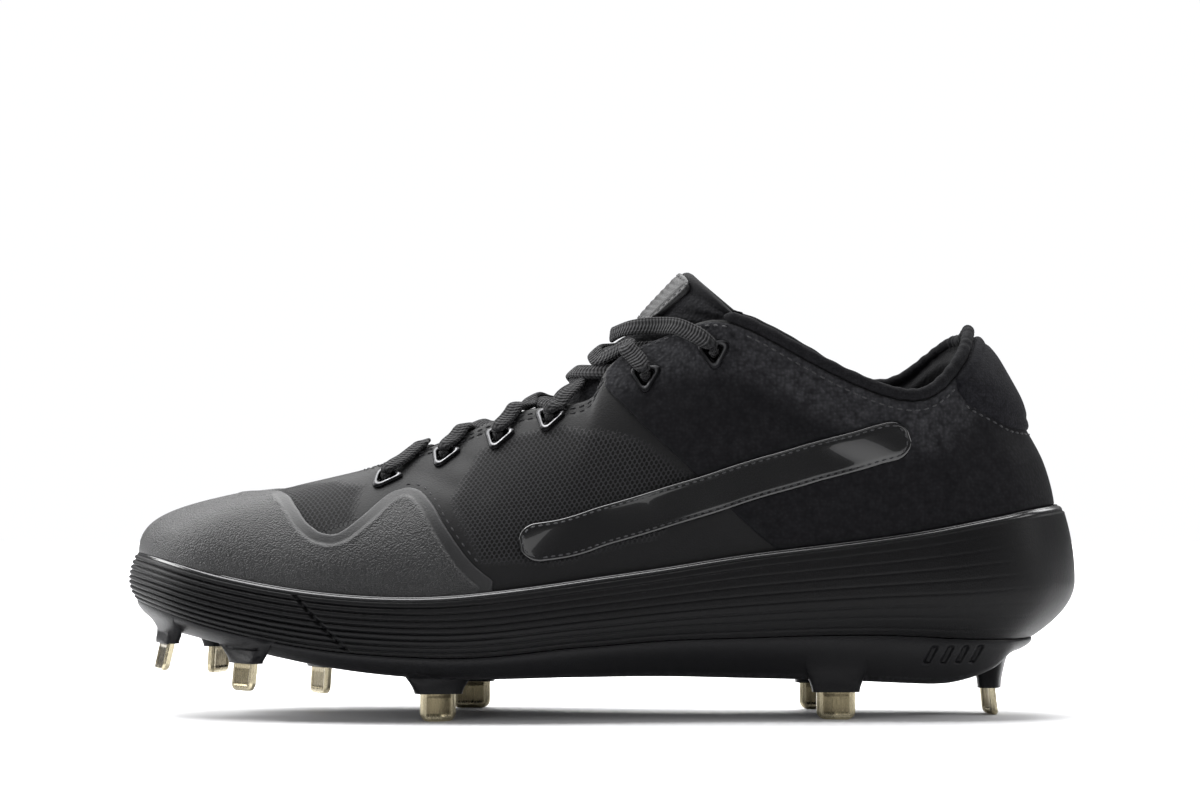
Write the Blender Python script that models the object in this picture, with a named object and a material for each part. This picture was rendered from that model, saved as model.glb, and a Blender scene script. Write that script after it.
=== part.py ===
"""Low baseball cleat with metal spikes, left shoe, empty and standing on its spikes.

The toe points to -X and the outer (lateral) side to -Y. The floor is z = 0, and the
origin lies under the middle of the shoe. Every form is worked out round the shoe on one
loop: a place on it runs from the toe (0) along the lateral side to the heel (HEEL) and
back along the medial side. A row of a table is one section of the shoe, and its lengths
are shares of the named sizes below. Sizes are in millimetres.
"""

import math
from collections import namedtuple

import bmesh
import bpy
import numpy as np

MM = 0.001

# Driving sizes
LENGTH = 300.0
BALL_WIDTH = 104.0
HEEL_WIDTH = 77.0
SOLE_HEIGHT = 66.0  # floor to the sole's rim at the back of the heel
UPPER_RISE = 54.0  # that rim to the upper's own edge at the back of the heel
FIT_GAP = 0.3  # between pieces that meet

# Sole
SOLE_FLARE = 4.0  # how far the sidewall stands out beyond its rim at the heel
LIP = 3.2  # thickness of the sidewall's rim
TUCK = 5.0  # how far the upper turns in under the foot
PLATE_WALL = 3.0
PLATE_STEP = 0.7  # the plate's edge is set in under the sidewall
PLATE_GAP = 1.0  # between the plate's tray and the plug in it
RIB_COUNT = 5
RIB_DEPTH = 1.1
INSOLE_THICKNESS = 4.0

# Upper
UPPER_WALL = 2.2
CAP_THICKNESS = 1.1
PANEL_GAP = 0.8  # under the toe cap and the quarter
QUARTER_THICKNESS = 0.9
PAD_THICKNESS = 4.2
PAD_EDGE = 1.0  # the pad's thickness at its rim
STRAP_THICKNESS = 0.9
PIPING_RADIUS = 1.9

# Throat
TONGUE_THICKNESS = 4.0
TONGUE_CLEARANCE = 2.5  # inside the upper's wall
LABEL_THICKNESS = 1.2
LACE_WIDTH = 5.2
LACE_THICKNESS = 1.6
LACE_GATHER = 0.55  # share of its width that a lace keeps in an eyelet
LACE_STEP = 3.5  # a longer stretch between two points of a route gets one more
LOOP_LIFT = 2.4  # how much higher the top loop passes over the laces below it
LOOP_CLIMB = 0.8  # rows that the loop falls from the throat's edge to its middle
EYELET_SIZE = 3.6  # centre to corner of the three-sided hole
EYELET_RIM = 1.0
EYELET_HEIGHT = 0.9
EYELET_SEAT = 0.5  # between an eyelet and the curved wall under it

# Spikes
SPIKE_LENGTH = 8.6  # what stands out of its lug
SPIKE_ROOT = 4.0
SPIKE_WIDTH = 11.8
SPIKE_THICKNESS = 2.4
SPIKE_ROUNDING = 2.2  # how high the tip's corners are cut away
SPIKE_BEND = 3.2  # how far the bent end of a blade stands back
LUG_MARGIN = 1.5  # plate material round a spike where it leaves the lug
LUG_SPREAD = 7.0  # how much wider the lug is where it joins the plate

STEPS = 2  # mesh lines between two neighbouring sections

Section = namedtuple(
    "Section",
    "name along heelness lateral medial rim_rise floor_rise bulge_rise edge_rise edge_inset"
    " plate_rise plate_inset rim_inset lip ribs",
)

# along: share of LENGTH from the toe. lateral, medial: the widest outline, shares of the
# width between BALL_WIDTH and HEEL_WIDTH that heelness picks. Rises are shares of
# SOLE_HEIGHT: the sole's rim, the footbed, the widest line, the sidewall's lower edge and
# the plate's underside. Insets are shares of SOLE_FLARE, lip of LIP, ribs of RIB_DEPTH.
SECTIONS = [
    Section("toe tip", 0.0, 0.0, 0.075, 0.075, 0.777, 0.64, 0.64, 0.556, 0.5, 0.415, 2.2, 0.7, 0.45, 1.0),
    Section("toe corner", 0.033, 0.0, -0.2, 0.318, 0.757, 0.605, 0.61, 0.515, 0.5, 0.395, 2.2, 0.6, 0.55, 1.0),
    Section("toe side", 0.1, 0.0, -0.35, 0.44, 0.686, 0.515, 0.54, 0.432, 0.7, 0.345, 2.2, 0.45, 0.8, 1.0),
    Section("toe joint", 0.2, 0.0, -0.448, 0.488, 0.614, 0.44, 0.475, 0.348, 0.9, 0.26, 2.2, 0.35, 1.0, 0.9),
    Section("ball", 0.3, 0.0, -0.489, 0.5, 0.589, 0.405, 0.44, 0.312, 1.0, 0.21, 2.2, 0.3, 1.0, 0.5),
    Section("ball rear", 0.38, 0.1, -0.513, 0.484, 0.611, 0.405, 0.44, 0.312, 1.0, 0.2, 2.3, 0.3, 1.0, 0.4),
    Section("waist front", 0.455, 0.35, -0.523, 0.46, 0.652, 0.43, 0.47, 0.345, 1.0, 0.205, 2.5, 0.4, 1.0, 0.4),
    Section("waist", 0.5, 0.5, -0.514, 0.436, 0.68, 0.45, 0.49, 0.36, 1.0, 0.205, 2.8, 0.5, 1.0, 0.4),
    Section("instep", 0.57, 0.75, -0.513, 0.418, 0.724, 0.485, 0.525, 0.383, 1.0, 0.205, 3.0, 0.6, 1.0, 0.4),
    Section("ankle front", 0.65, 1.0, -0.526, 0.426, 0.78, 0.52, 0.56, 0.394, 1.0, 0.195, 3.0, 0.65, 1.0, 0.4),
    Section("ankle", 0.74, 1.0, -0.516, 0.431, 0.83, 0.55, 0.59, 0.405, 1.2, 0.185, 2.8, 0.7, 1.0, 0.4),
    Section("quarter", 0.82, 1.0, -0.51, 0.455, 0.879, 0.575, 0.606, 0.4, 1.6, 0.17, 2.8, 0.75, 1.0, 0.3),
    Section("heel front", 0.88, 1.0, -0.487, 0.461, 0.924, 0.59, 0.62, 0.385, 2.0, 0.175, 3.0, 0.8, 1.0, 0.3),
    Section("heel side", 0.94, 1.0, -0.4, 0.39, 0.97, 0.6, 0.636, 0.378, 2.6, 0.24, 3.5, 0.9, 1.0, 0.2),
    Section("heel corner", 0.978, 1.0, -0.25, 0.245, 0.992, 0.605, 0.642, 0.376, 3.1, 0.3, 3.8, 1.0, 1.0, 0.2),
    Section("heel back", 1.0, 1.0, -0.005, -0.005, 1.0, 0.605, 0.642, 0.378, 3.3, 0.31, 4.0, 1.0, 1.0, 0.2),
]

Wall = namedtuple("Wall", "along lateral medial rise_lateral rise_medial shoulder lean crown pitch")

# The upper's top edge, section by section, and how its wall climbs there. along: share of
# LENGTH. lateral, medial: shares of BALL_WIDTH. Rises: shares of UPPER_RISE over the sole's
# rim. shoulder, crown: how far the wall holds its first and last direction, as shares of
# its span. lean: first direction, degrees inward. pitch: last direction, degrees downward.
WALLS = [
    Wall(0.262, -0.000, 0.000, 0.495, 0.495, 0.18, 0, 0.70, 13.5),
    Wall(0.264, -0.048, 0.048, 0.524, 0.524, 0.19, 0, 0.64, 14),
    Wall(0.273, -0.084, 0.084, 0.633, 0.633, 0.24, 2, 0.52, 18),
    Wall(0.301, -0.108, 0.108, 0.787, 0.787, 0.30, 4, 0.38, 30),
    Wall(0.355, -0.125, 0.125, 0.930, 0.930, 0.36, 6, 0.32, 40),
    Wall(0.425, -0.145, 0.145, 1.045, 1.045, 0.38, 7, 0.30, 44),
    Wall(0.488, -0.185, 0.175, 1.062, 1.080, 0.36, 7, 0.28, 46),
    Wall(0.510, -0.150, 0.145, 1.222, 1.240, 0.36, 7, 0.28, 46),
    Wall(0.575, -0.185, 0.175, 1.355, 1.375, 0.36, 7, 0.30, 56),
    Wall(0.634, -0.265, 0.250, 1.350, 1.360, 0.34, 7, 0.32, 70),
    Wall(0.715, -0.318, 0.300, 1.066, 1.090, 0.34, 6, 0.30, 82),
    Wall(0.790, -0.325, 0.310, 0.812, 0.820, 0.34, 5, 0.30, 88),
    Wall(0.842, -0.300, 0.300, 0.740, 0.870, 0.34, 5, 0.30, 88),
    Wall(0.876, -0.215, 0.215, 0.860, 0.955, 0.34, 6, 0.30, 84),
    Wall(0.888, -0.110, 0.110, 0.955, 0.955, 0.36, 7, 0.30, 80),
    Wall(0.892, -0.000, 0.000, 1.000, 1.000, 0.36, 8, 0.30, 76),
]

HEEL = len(SECTIONS) - 1
ROUND = 2 * HEEL

Tongue = namedtuple("Tongue", "place reach lift along rise")

# The tongue, from under the throat's front to its top. place: where on the loop its sides
# pass the upper's edge. reach: how far down inside the wall they go, as a share of its
# height. lift: how far over the edge they stand, likewise. along: its middle, share of
# LENGTH. rise: its middle, share of SOLE_HEIGHT + UPPER_RISE.
TONGUES = [
    Tongue(1.20, 0.12, 0.00, 0.247, 0.610),
    Tongue(1.90, 0.15, 0.00, 0.268, 0.622),
    Tongue(3.00, 0.18, 0.00, 0.300, 0.650),
    Tongue(4.00, 0.20, 0.00, 0.353, 0.717),
    Tongue(5.00, 0.22, 0.00, 0.418, 0.790),
    Tongue(6.00, 0.24, 0.00, 0.468, 0.862),
    Tongue(7.00, 0.26, 0.00, 0.497, 0.925),
    Tongue(8.00, 0.24, 0.00, 0.528, 0.998),
    Tongue(8.70, 0.20, 0.03, 0.557, 1.079),
    Tongue(9.15, 0.18, 0.03, 0.592, 1.170),
]

Edge = namedtuple("Edge", "place low high")

# Pieces laid on the upper: their lower and upper edge as shares of the wall's height, at
# places round the loop. The toe cap and the quarter are mirrored onto the other side.
TOE_CAP = [
    Edge(0.00, 0.02, 0.720),
    Edge(0.50, 0.02, 0.725),
    Edge(1.00, 0.02, 0.725),
    Edge(1.50, 0.02, 0.695),
    Edge(1.95, 0.02, 0.635),
    Edge(2.35, 0.02, 0.530),
    Edge(2.70, 0.02, 0.410),
    Edge(2.90, 0.02, 0.360),
    Edge(3.08, 0.02, 0.370),
    Edge(3.22, 0.02, 0.480),
    Edge(3.34, 0.02, 0.600),
    Edge(3.52, 0.02, 0.640),
    Edge(3.80, 0.02, 0.600),
    Edge(4.05, 0.02, 0.495),
    Edge(4.35, 0.02, 0.330),
    Edge(4.78, 0.02, 0.140),
    Edge(5.11, 0.02, 0.045),
]
QUARTER = [
    Edge(6.95, 0.86, 0.95),
    Edge(7.20, 0.76, 0.97),
    Edge(7.60, 0.60, 0.97),
    Edge(8.00, 0.465, 0.97),
    Edge(8.50, 0.31, 0.97),
    Edge(9.00, 0.145, 0.97),
    Edge(9.40, 0.02, 0.97),
    Edge(10.00, 0.02, 0.97),
    Edge(10.50, 0.02, 0.97),
    Edge(11.00, 0.02, 0.97),
    Edge(11.50, 0.02, 0.97),
    Edge(12.00, 0.02, 0.97),
    Edge(12.50, 0.02, 0.97),
    Edge(13.00, 0.02, 0.97),
    Edge(13.50, 0.02, 0.97),
    Edge(14.00, 0.02, 0.97),
    Edge(14.50, 0.02, 0.97),
    Edge(15.00, 0.02, 0.97),
]
HEEL_PAD = [
    Edge(12.66, 0.90, 0.965),
    Edge(12.80, 0.78, 0.965),
    Edge(13.02, 0.69, 0.965),
    Edge(13.35, 0.59, 0.965),
    Edge(13.75, 0.50, 0.965),
    Edge(14.20, 0.44, 0.965),
    Edge(14.60, 0.41, 0.965),
    Edge(15.00, 0.40, 0.965),
]
STRAP = [
    Edge(5.42, 0.155, 0.225),
    Edge(5.50, 0.115, 0.270),
    Edge(5.70, 0.095, 0.305),
    Edge(6.30, 0.100, 0.305),
    Edge(7.03, 0.108, 0.300),
    Edge(7.50, 0.118, 0.305),
    Edge(8.00, 0.138, 0.325),
    Edge(8.71, 0.175, 0.365),
    Edge(9.47, 0.245, 0.460),
    Edge(10.00, 0.325, 0.560),
    Edge(10.50, 0.415, 0.665),
    Edge(10.85, 0.485, 0.745),
    Edge(11.15, 0.560, 0.790),
    Edge(11.32, 0.620, 0.775),
    Edge(11.40, 0.665, 0.725),
]

Eyelet = namedtuple("Eyelet", "place height stacked")

# Eyelets of one side: place round the loop, share of the wall's height, and whether it
# stands on the quarter.
EYELETS = [
    Eyelet(3.07, 0.775, 0),
    Eyelet(3.87, 0.850, 0),
    Eyelet(4.69, 0.840, 0),
    Eyelet(5.36, 0.900, 0),
    Eyelet(7.66, 0.800, 1),
    Eyelet(8.70, 0.845, 1),
]

Crossing = namedtuple("Crossing", "row rise lean")

# Where each lace passes over the tongue's middle, in rows of the tongue's table, how many
# rows it climbs on its way under the opposite edge, and how far round the loop it goes
# between its eyelet and the throat's edge. The last one is the loose loop between the top
# eyelets.
CROSSINGS = [
    Crossing(2.35, 0.35, 0.1),
    Crossing(3.30, 0.35, 0.1),
    Crossing(4.25, 0.35, 0.1),
    Crossing(5.30, 0.85, 0.1),
    Crossing(6.15, 0.60, -0.3),
    Crossing(6.75, 0.00, -0.6),
]

Spike = namedtuple("Spike", "name along across tip turn tilt bend lean")

# along: share of LENGTH. across: share of BALL_WIDTH. tip: height over the floor, share of
# SOLE_HEIGHT. turn: degrees that the blade is turned from facing the side of the shoe.
# tilt: degrees that its tip leans to the toe. bend: which end of the blade is bent inwards.
# lean: share of the way to the plate's side that its lug leans out.
SPIKES = [
    Spike("spike_toe", 0.0453, -0.115, 0.221, -72, 13, 0, 0.0),
    Spike("spike_toe_medial", 0.0933, 0.192, 0.183, 64, 4, 0, 0.2),
    Spike("spike_toe_lateral", 0.1310, -0.298, 0.140, -54, 6, 0, 0.6),
    Spike("spike_joint_medial", 0.2003, 0.346, 0.067, -61, 4, 0, 0.7),
    Spike("spike_ball_lateral", 0.3320, -0.356, 0.0, 12, 0, 1, 1.0),
    Spike("spike_ball_medial", 0.3617, 0.327, 0.0, -10, 0, -1, 1.0),
    Spike("spike_heel_medial", 0.7320, 0.250, 0.0, 8, 0, 1, 1.0),
    Spike("spike_heel_lateral", 0.7450, -0.264, 0.0, 3, 0, -1, 1.0),
    Spike("spike_heel_back", 0.9130, 0.0, 0.0, 84, -6, 1, 0.0),
]

Finish = namedtuple("Finish", "colour roughness metallic")

TEXTILE = Finish((0.020, 0.020, 0.022), 0.75, 0.0)
CAP_RUBBER = Finish((0.030, 0.030, 0.032), 0.55, 0.0)
FOAM = Finish((0.012, 0.012, 0.013), 0.60, 0.0)
PLATE_PLASTIC = Finish((0.014, 0.014, 0.016), 0.35, 0.0)
SPIKE_STEEL = Finish((0.62, 0.56, 0.44), 0.25, 1.0)
PATENT = Finish((0.010, 0.010, 0.011), 0.08, 0.0)
LACE_CORD = Finish((0.018, 0.018, 0.020), 0.80, 0.0)
EYELET_METAL = Finish((0.10, 0.10, 0.11), 0.30, 0.8)


def spline(values, places):
    """Values of the smooth closed curve through a loop of numbers, at places along it."""
    values = np.asarray(values, float)
    count = len(values)
    weights = np.zeros((count, count))
    for i in range(count):
        weights[i, i] = 4 / 6
        weights[i, (i - 1) % count] = weights[i, (i + 1) % count] = 1 / 6
    knots = np.linalg.solve(weights, values)
    places = np.asarray(places, float) % count
    start = np.floor(places).astype(int)
    f = places - start
    basis = ((1 - f) ** 3, 3 * f**3 - 6 * f**2 + 4, -3 * f**3 + 3 * f**2 + 3 * f + 1, f**3)
    return sum(w * knots[(start + k - 1) % count] for k, w in enumerate(basis)) / 6


def loop(lateral, medial=None):
    """One number for each section, toe to heel on the lateral side and back on the medial."""
    lateral = list(lateral)
    medial = list(medial) if medial is not None else lateral
    return lateral + medial[-2:0:-1]


def column(name, places):
    return spline(loop([getattr(row, name) for row in SECTIONS]), places)


def wall_column(name, places):
    return spline(loop([getattr(row, name) for row in WALLS]), places)


def outline(places):
    """The sole's widest outline seen from above, and its outward normal there."""
    widths = [BALL_WIDTH + (HEEL_WIDTH - BALL_WIDTH) * row.heelness for row in SECTIONS]
    along = loop([(row.along - 0.5) * LENGTH for row in SECTIONS])
    across = loop(
        [row.lateral * width for row, width in zip(SECTIONS, widths)],
        [row.medial * width for row, width in zip(SECTIONS, widths)],
    )
    point = np.stack([spline(along, places), spline(across, places)], axis=-1)
    nudge = 1e-3
    after = np.stack([spline(along, places + nudge), spline(across, places + nudge)], axis=-1)
    tangent = (after - point) / np.linalg.norm(after - point, axis=-1, keepdims=True)
    return point, np.stack([tangent[..., 1], -tangent[..., 0]], axis=-1)


def ring(places, inset, z):
    """The outline drawn in by an inset, at the heights z."""
    point, normal = outline(places)
    flat = point - normal * np.asarray(inset, float)[..., None] * np.ones_like(point)
    return np.concatenate([flat, (z + np.zeros(len(flat)))[:, None]], axis=1)


def rim_z(places):
    return SOLE_HEIGHT * column("rim_rise", places)


def floor_z(places):
    return SOLE_HEIGHT * column("floor_rise", places)


def cup_inset(places):
    """How far the cup that holds the upper lies inside the widest outline."""
    return SOLE_FLARE * column("rim_inset", places) + LIP * column("lip", places)


def top_edge(places):
    """The upper's top edge, round throat and collar."""
    rim = rim_z(np.arange(ROUND))
    rise = loop([row.rise_lateral for row in WALLS], [row.rise_medial for row in WALLS])
    across = loop([row.lateral for row in WALLS], [row.medial for row in WALLS])
    x = spline(loop([(row.along - 0.5) * LENGTH for row in WALLS]), places)
    y = spline([BALL_WIDTH * share for share in across], places)
    z = spline([low + UPPER_RISE * share for low, share in zip(rim, rise)], places)
    return np.stack([x, y, z], axis=-1)


def bezier(points, f):
    """Point at share f of a Bezier curve through stacks of control points."""
    degree = len(points) - 1
    f = np.asarray(f)[..., None]
    return sum(
        math.comb(degree, k) * (1 - f) ** (degree - k) * f**k * point
        for k, point in enumerate(points)
    )


def upper_surface(places, heights):
    """The upper's outer face. Height 0 is level with the sole's rim, 1 the top edge, and -1
    the turned-in edge under the foot."""
    places, heights = np.broadcast_arrays(np.asarray(places, float), np.asarray(heights, float))
    shape = places.shape
    places, heights = places.ravel(), heights.ravel()
    inset = cup_inset(places) + FIT_GAP
    belly = ring(places, inset, rim_z(places))
    foot = ring(places, inset + TUCK, floor_z(places) + FIT_GAP)
    corner = np.concatenate([belly[:, :2], foot[:, 2:]], axis=1)
    edge = top_edge(places)
    span = np.linalg.norm(edge - belly, axis=1)[:, None]
    inward = edge[:, :2] - belly[:, :2]
    inward = inward / np.linalg.norm(inward, axis=1)[:, None]
    lean = np.radians(wall_column("lean", places))[:, None]
    pitch = np.radians(wall_column("pitch", places))[:, None]
    rise = np.concatenate([inward * np.sin(lean), np.cos(lean)], axis=1)
    fall = np.concatenate([-inward * np.cos(pitch), -np.sin(pitch)], axis=1)
    shoulder = belly + rise * span * wall_column("shoulder", places)[:, None]
    crown = edge + fall * span * wall_column("crown", places)[:, None]
    above = bezier([belly, shoulder, crown, edge], np.clip(heights, 0, None))
    below = bezier([belly, corner, foot], np.clip(-heights, 0, 1))
    return np.where((heights >= 0)[:, None], above, below).reshape(shape + (3,))


def upper_normal(places, heights):
    """Unit normal of the upper's outer face, pointing out of the shoe."""
    places, heights = np.broadcast_arrays(np.asarray(places, float), np.asarray(heights, float))
    nudge = 1e-3
    side = np.where(heights > 1 - 2 * nudge, -1.0, 1.0)
    here = upper_surface(places, heights)
    round_way = upper_surface(places + nudge, heights) - here
    up_way = (upper_surface(places, heights + nudge * side) - here) * side[..., None]
    normal = np.cross(round_way, up_way)
    return normal / np.linalg.norm(normal, axis=-1, keepdims=True)


def off_upper(places, heights, offset):
    """A point at an offset from the upper's outer face, negative into the shoe."""
    offset = np.asarray(offset, float)
    if offset.ndim:
        offset = offset[..., None]
    return upper_surface(places, heights) + upper_normal(places, heights) * offset


def material(name, finish):
    """An object's own material, in one of the finishes."""
    made = bpy.data.materials.new(name)
    made.use_nodes = True
    shader = made.node_tree.nodes["Principled BSDF"]
    shader.inputs["Base Color"].default_value = (*finish.colour, 1.0)
    shader.inputs["Roughness"].default_value = finish.roughness
    shader.inputs["Metallic"].default_value = finish.metallic
    return made


def add_mesh(name, points, faces, finish, parts):
    """An object from points in millimetres, its faces flat and turned outwards. One that is
    put among the cutters shows as a wire."""
    mesh = bpy.data.meshes.new(name)
    mesh.from_pydata((np.asarray(points) * MM).tolist(), [], [list(map(int, f)) for f in faces])
    shape = bmesh.new()
    shape.from_mesh(mesh)
    bmesh.ops.triangulate(shape, faces=shape.faces)
    bmesh.ops.recalc_face_normals(shape, faces=shape.faces)
    if shape.calc_volume(signed=True) < 0:
        bmesh.ops.reverse_faces(shape, faces=shape.faces)
    shape.to_mesh(mesh)
    shape.free()
    mesh.shade_smooth()
    mesh.set_sharp_from_angle(angle=math.radians(40))
    mesh.materials.append(material(name, finish))
    made = bpy.data.objects.new(name, mesh)
    parts.objects.link(made)
    if parts.hide_render:
        made.hide_render = True
        made.display_type = "WIRE"
    return made


def grid_faces(rows, columns, wrap_rows=False, wrap_columns=False):
    """Quads over a grid of points stored row by row."""
    faces = []
    for i in range(rows if wrap_rows else rows - 1):
        for j in range(columns if wrap_columns else columns - 1):
            a, b = i, (i + 1) % rows
            c, d = j, (j + 1) % columns
            faces.append((a * columns + c, a * columns + d, b * columns + d, b * columns + c))
    return faces


def cap_faces(start, count):
    """Quads across a ring from its lateral points to the medial ones level with them."""
    half = count // 2
    faces = [(start, start + 1, start + count - 1)]
    for i in range(1, half - 1):
        faces.append((start + i, start + i + 1, start + count - i - 1, start + count - i))
    faces.append((start + half - 1, start + half, start + half + 1))
    return faces


def add_ring_solid(name, rings, finish, parts):
    """A solid whose skin runs over closed rings, closed across the first and the last."""
    count = len(rings[0])
    faces = grid_faces(len(rings), count, wrap_columns=True)
    faces += cap_faces(0, count) + cap_faces((len(rings) - 1) * count, count)
    return add_mesh(name, np.concatenate(rings), faces, finish, parts)


def add_sheet(name, under, over, finish, parts):
    """A solid between two grids of points of one size."""
    rows, columns = under.shape[:2]
    half = rows * columns
    sheet = grid_faces(rows, columns)
    faces = [tuple(reversed(f)) for f in sheet]
    faces += [tuple(half + i for i in f) for f in sheet]
    border = [i * columns for i in range(rows)]
    border += [(rows - 1) * columns + j for j in range(1, columns)]
    border += [i * columns + columns - 1 for i in range(rows - 2, -1, -1)]
    border += [j for j in range(columns - 2, 0, -1)]
    for a, b in zip(border, border[1:] + border[:1]):
        faces.append((a, b, half + b, half + a))
    points = np.concatenate([under.reshape(-1, 3), over.reshape(-1, 3)])
    return add_mesh(name, points, faces, finish, parts)


def edge_rows(edges, mirrored_at=None):
    """Places, lower and upper edges of a table, mirrored about a place if one is given."""
    places, low, high = (np.array(part) for part in zip(*edges))
    if mirrored_at is None:
        return places, low, high
    if mirrored_at < places[-1]:
        places, low, high = places[::-1], low[::-1], high[::-1]
    other = 2 * mirrored_at - places[-2::-1]
    return (
        np.concatenate([places, other]),
        np.concatenate([low, low[-2::-1]]),
        np.concatenate([high, high[-2::-1]]),
    )


def add_patch(name, rows, columns, inner, thickness, finish, parts):
    """A solid laid on the upper between the edges of its rows. inner is its clearance and
    thickness its own, each one number or one for each point of the grid."""
    places, low, high = rows
    shares = np.linspace(0, 1, columns)
    heights = low[:, None] + (high - low)[:, None] * shares
    grid = np.repeat(places[:, None], columns, axis=1)
    inner = inner + np.zeros(grid.shape)
    return add_sheet(
        name,
        off_upper(grid, heights, inner),
        off_upper(grid, heights, inner + thickness),
        finish,
        parts,
    )


def add_cord(name, line, radius, finish, parts):
    """A round cord along a line of points."""
    curve = bpy.data.curves.new(name, "CURVE")
    curve.dimensions = "3D"
    curve.bevel_depth = radius * MM
    curve.bevel_resolution = 1
    curve.use_fill_caps = True
    spline_line = curve.splines.new("POLY")
    spline_line.points.add(len(line) - 1)
    for point, place in zip(spline_line.points, line):
        point.co = (*(place * MM), 1.0)
    curve.materials.append(material(name, finish))
    made = bpy.data.objects.new(name, curve)
    parts.objects.link(made)
    return made


def combine(target, tools, operation):
    """Joins or cuts the target with each tool in turn, then removes the tools."""
    for tool in tools:
        change = target.modifiers.new(operation.lower(), "BOOLEAN")
        change.operation = operation
        change.object = tool
        change.solver = "EXACT"
    graph = bpy.context.evaluated_depsgraph_get()
    mesh = bpy.data.meshes.new_from_object(target.evaluated_get(graph))
    target.modifiers.clear()
    target.data = mesh
    for tool in tools:
        bpy.data.objects.remove(tool)


def loop_places():
    return np.arange(ROUND * STEPS) / STEPS


def make_upper(parts, tools):
    """The hollow upper: one wall from the turned-in edge under the foot to the top edge."""
    places = loop_places()
    heights = np.concatenate([[-1.0, -0.55], np.linspace(0, 1, 8)])
    grid, level = np.meshgrid(places, heights)
    outer = off_upper(grid, level, 0.0)
    inner = off_upper(grid, level, -UPPER_WALL)
    inner[0] = outer[0] - (outer[0] - inner[0]) * [1, 1, 0]
    rings = np.concatenate([outer, inner[::-1]])
    faces = grid_faces(len(rings), len(places), wrap_rows=True, wrap_columns=True)
    upper = add_mesh("upper", rings.reshape(-1, 3), faces, TEXTILE, parts)
    holes = []
    for side, number, place, height, _ in eyelet_places():
        depth = (-2 * UPPER_WALL, UPPER_WALL)
        holes.append(add_eyelet_prism(f"hole_{side}_{number}", place, height, depth, tools))
    for hole in holes:
        combine(upper, [hole], "DIFFERENCE")
    return upper


def eyelet_places():
    """(side, number, place, height, base) of every eyelet, front to back. base is the height
    over the upper that it stands on."""
    for number, eyelet in enumerate(EYELETS, 1):
        base = eyelet.stacked * (PANEL_GAP + QUARTER_THICKNESS)
        yield "lateral", number, eyelet.place, eyelet.height, base
        yield "medial", number, ROUND - eyelet.place, eyelet.height, base


def triangle(size, corner_share=0.3):
    """Corners of a three-sided hole, point downwards, each corner cut into two."""
    angles = [math.radians(a) for a in (-90, 30, 150)]
    tips = [np.array([math.cos(a), math.sin(a)]) * size for a in angles]
    corners = []
    for k, tip in enumerate(tips):
        for other in (tips[k - 1], tips[(k + 1) % 3]):
            corners.append(tip + (other - tip) * corner_share / 2)
    return np.array(corners)


def eyelet_ring(place, height, size, offset):
    """The hole's corners laid on the upper at an offset from it."""
    nudge = 0.01
    centre = off_upper(place, height, 0.0)
    along = (off_upper(place + nudge, height, 0.0) - centre) / nudge
    up = (off_upper(place, height + nudge, 0.0) - centre) / nudge
    across = along - up * along.dot(up) / up.dot(up)
    shift_place = triangle(size)[:, 0] / np.linalg.norm(across)
    shift_height = triangle(size)[:, 1] / np.linalg.norm(up)
    shift_height = shift_height - shift_place * along.dot(up) / up.dot(up)
    return off_upper(place + shift_place, height + shift_height, offset)


def add_eyelet_prism(name, place, height, depth, tools):
    """A cutter the shape of an eyelet's hole."""
    flat, normal = eyelet_ring(place, height, EYELET_SIZE, 0.0), upper_normal(place, height)
    rings = [flat + normal * level for level in depth]
    count = len(rings[0])
    faces = grid_faces(2, count, wrap_columns=True)
    faces += [tuple(range(count)), tuple(range(count, 2 * count))]
    return add_mesh(name, np.concatenate(rings), faces, EYELET_METAL, tools)


def add_eyelet(name, place, height, base, parts):
    """A three-sided rim that stands round its hole."""
    wide = EYELET_SIZE + 2 * EYELET_RIM
    low, high = base + EYELET_SEAT, base + EYELET_SEAT + EYELET_HEIGHT
    corners = ((EYELET_SIZE, low), (wide, low), (wide, high), (EYELET_SIZE, high))
    rings = [eyelet_ring(place, height, size, level) for size, level in corners]
    faces = grid_faces(4, len(rings[0]), wrap_rows=True, wrap_columns=True)
    return add_mesh(name, np.concatenate(rings), faces, EYELET_METAL, parts)


def make_insole(parts):
    """The footbed inside the upper, lying on the midsole's floor."""
    places = loop_places()
    clear = cup_inset(places) + FIT_GAP + UPPER_WALL + FIT_GAP
    low = ring(places, clear + TUCK, floor_z(places) + FIT_GAP)
    high = ring(places, clear + 0.35 * TUCK, floor_z(places) + FIT_GAP + INSOLE_THICKNESS)
    return add_ring_solid("insole", [low, high], TEXTILE, parts)


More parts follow.
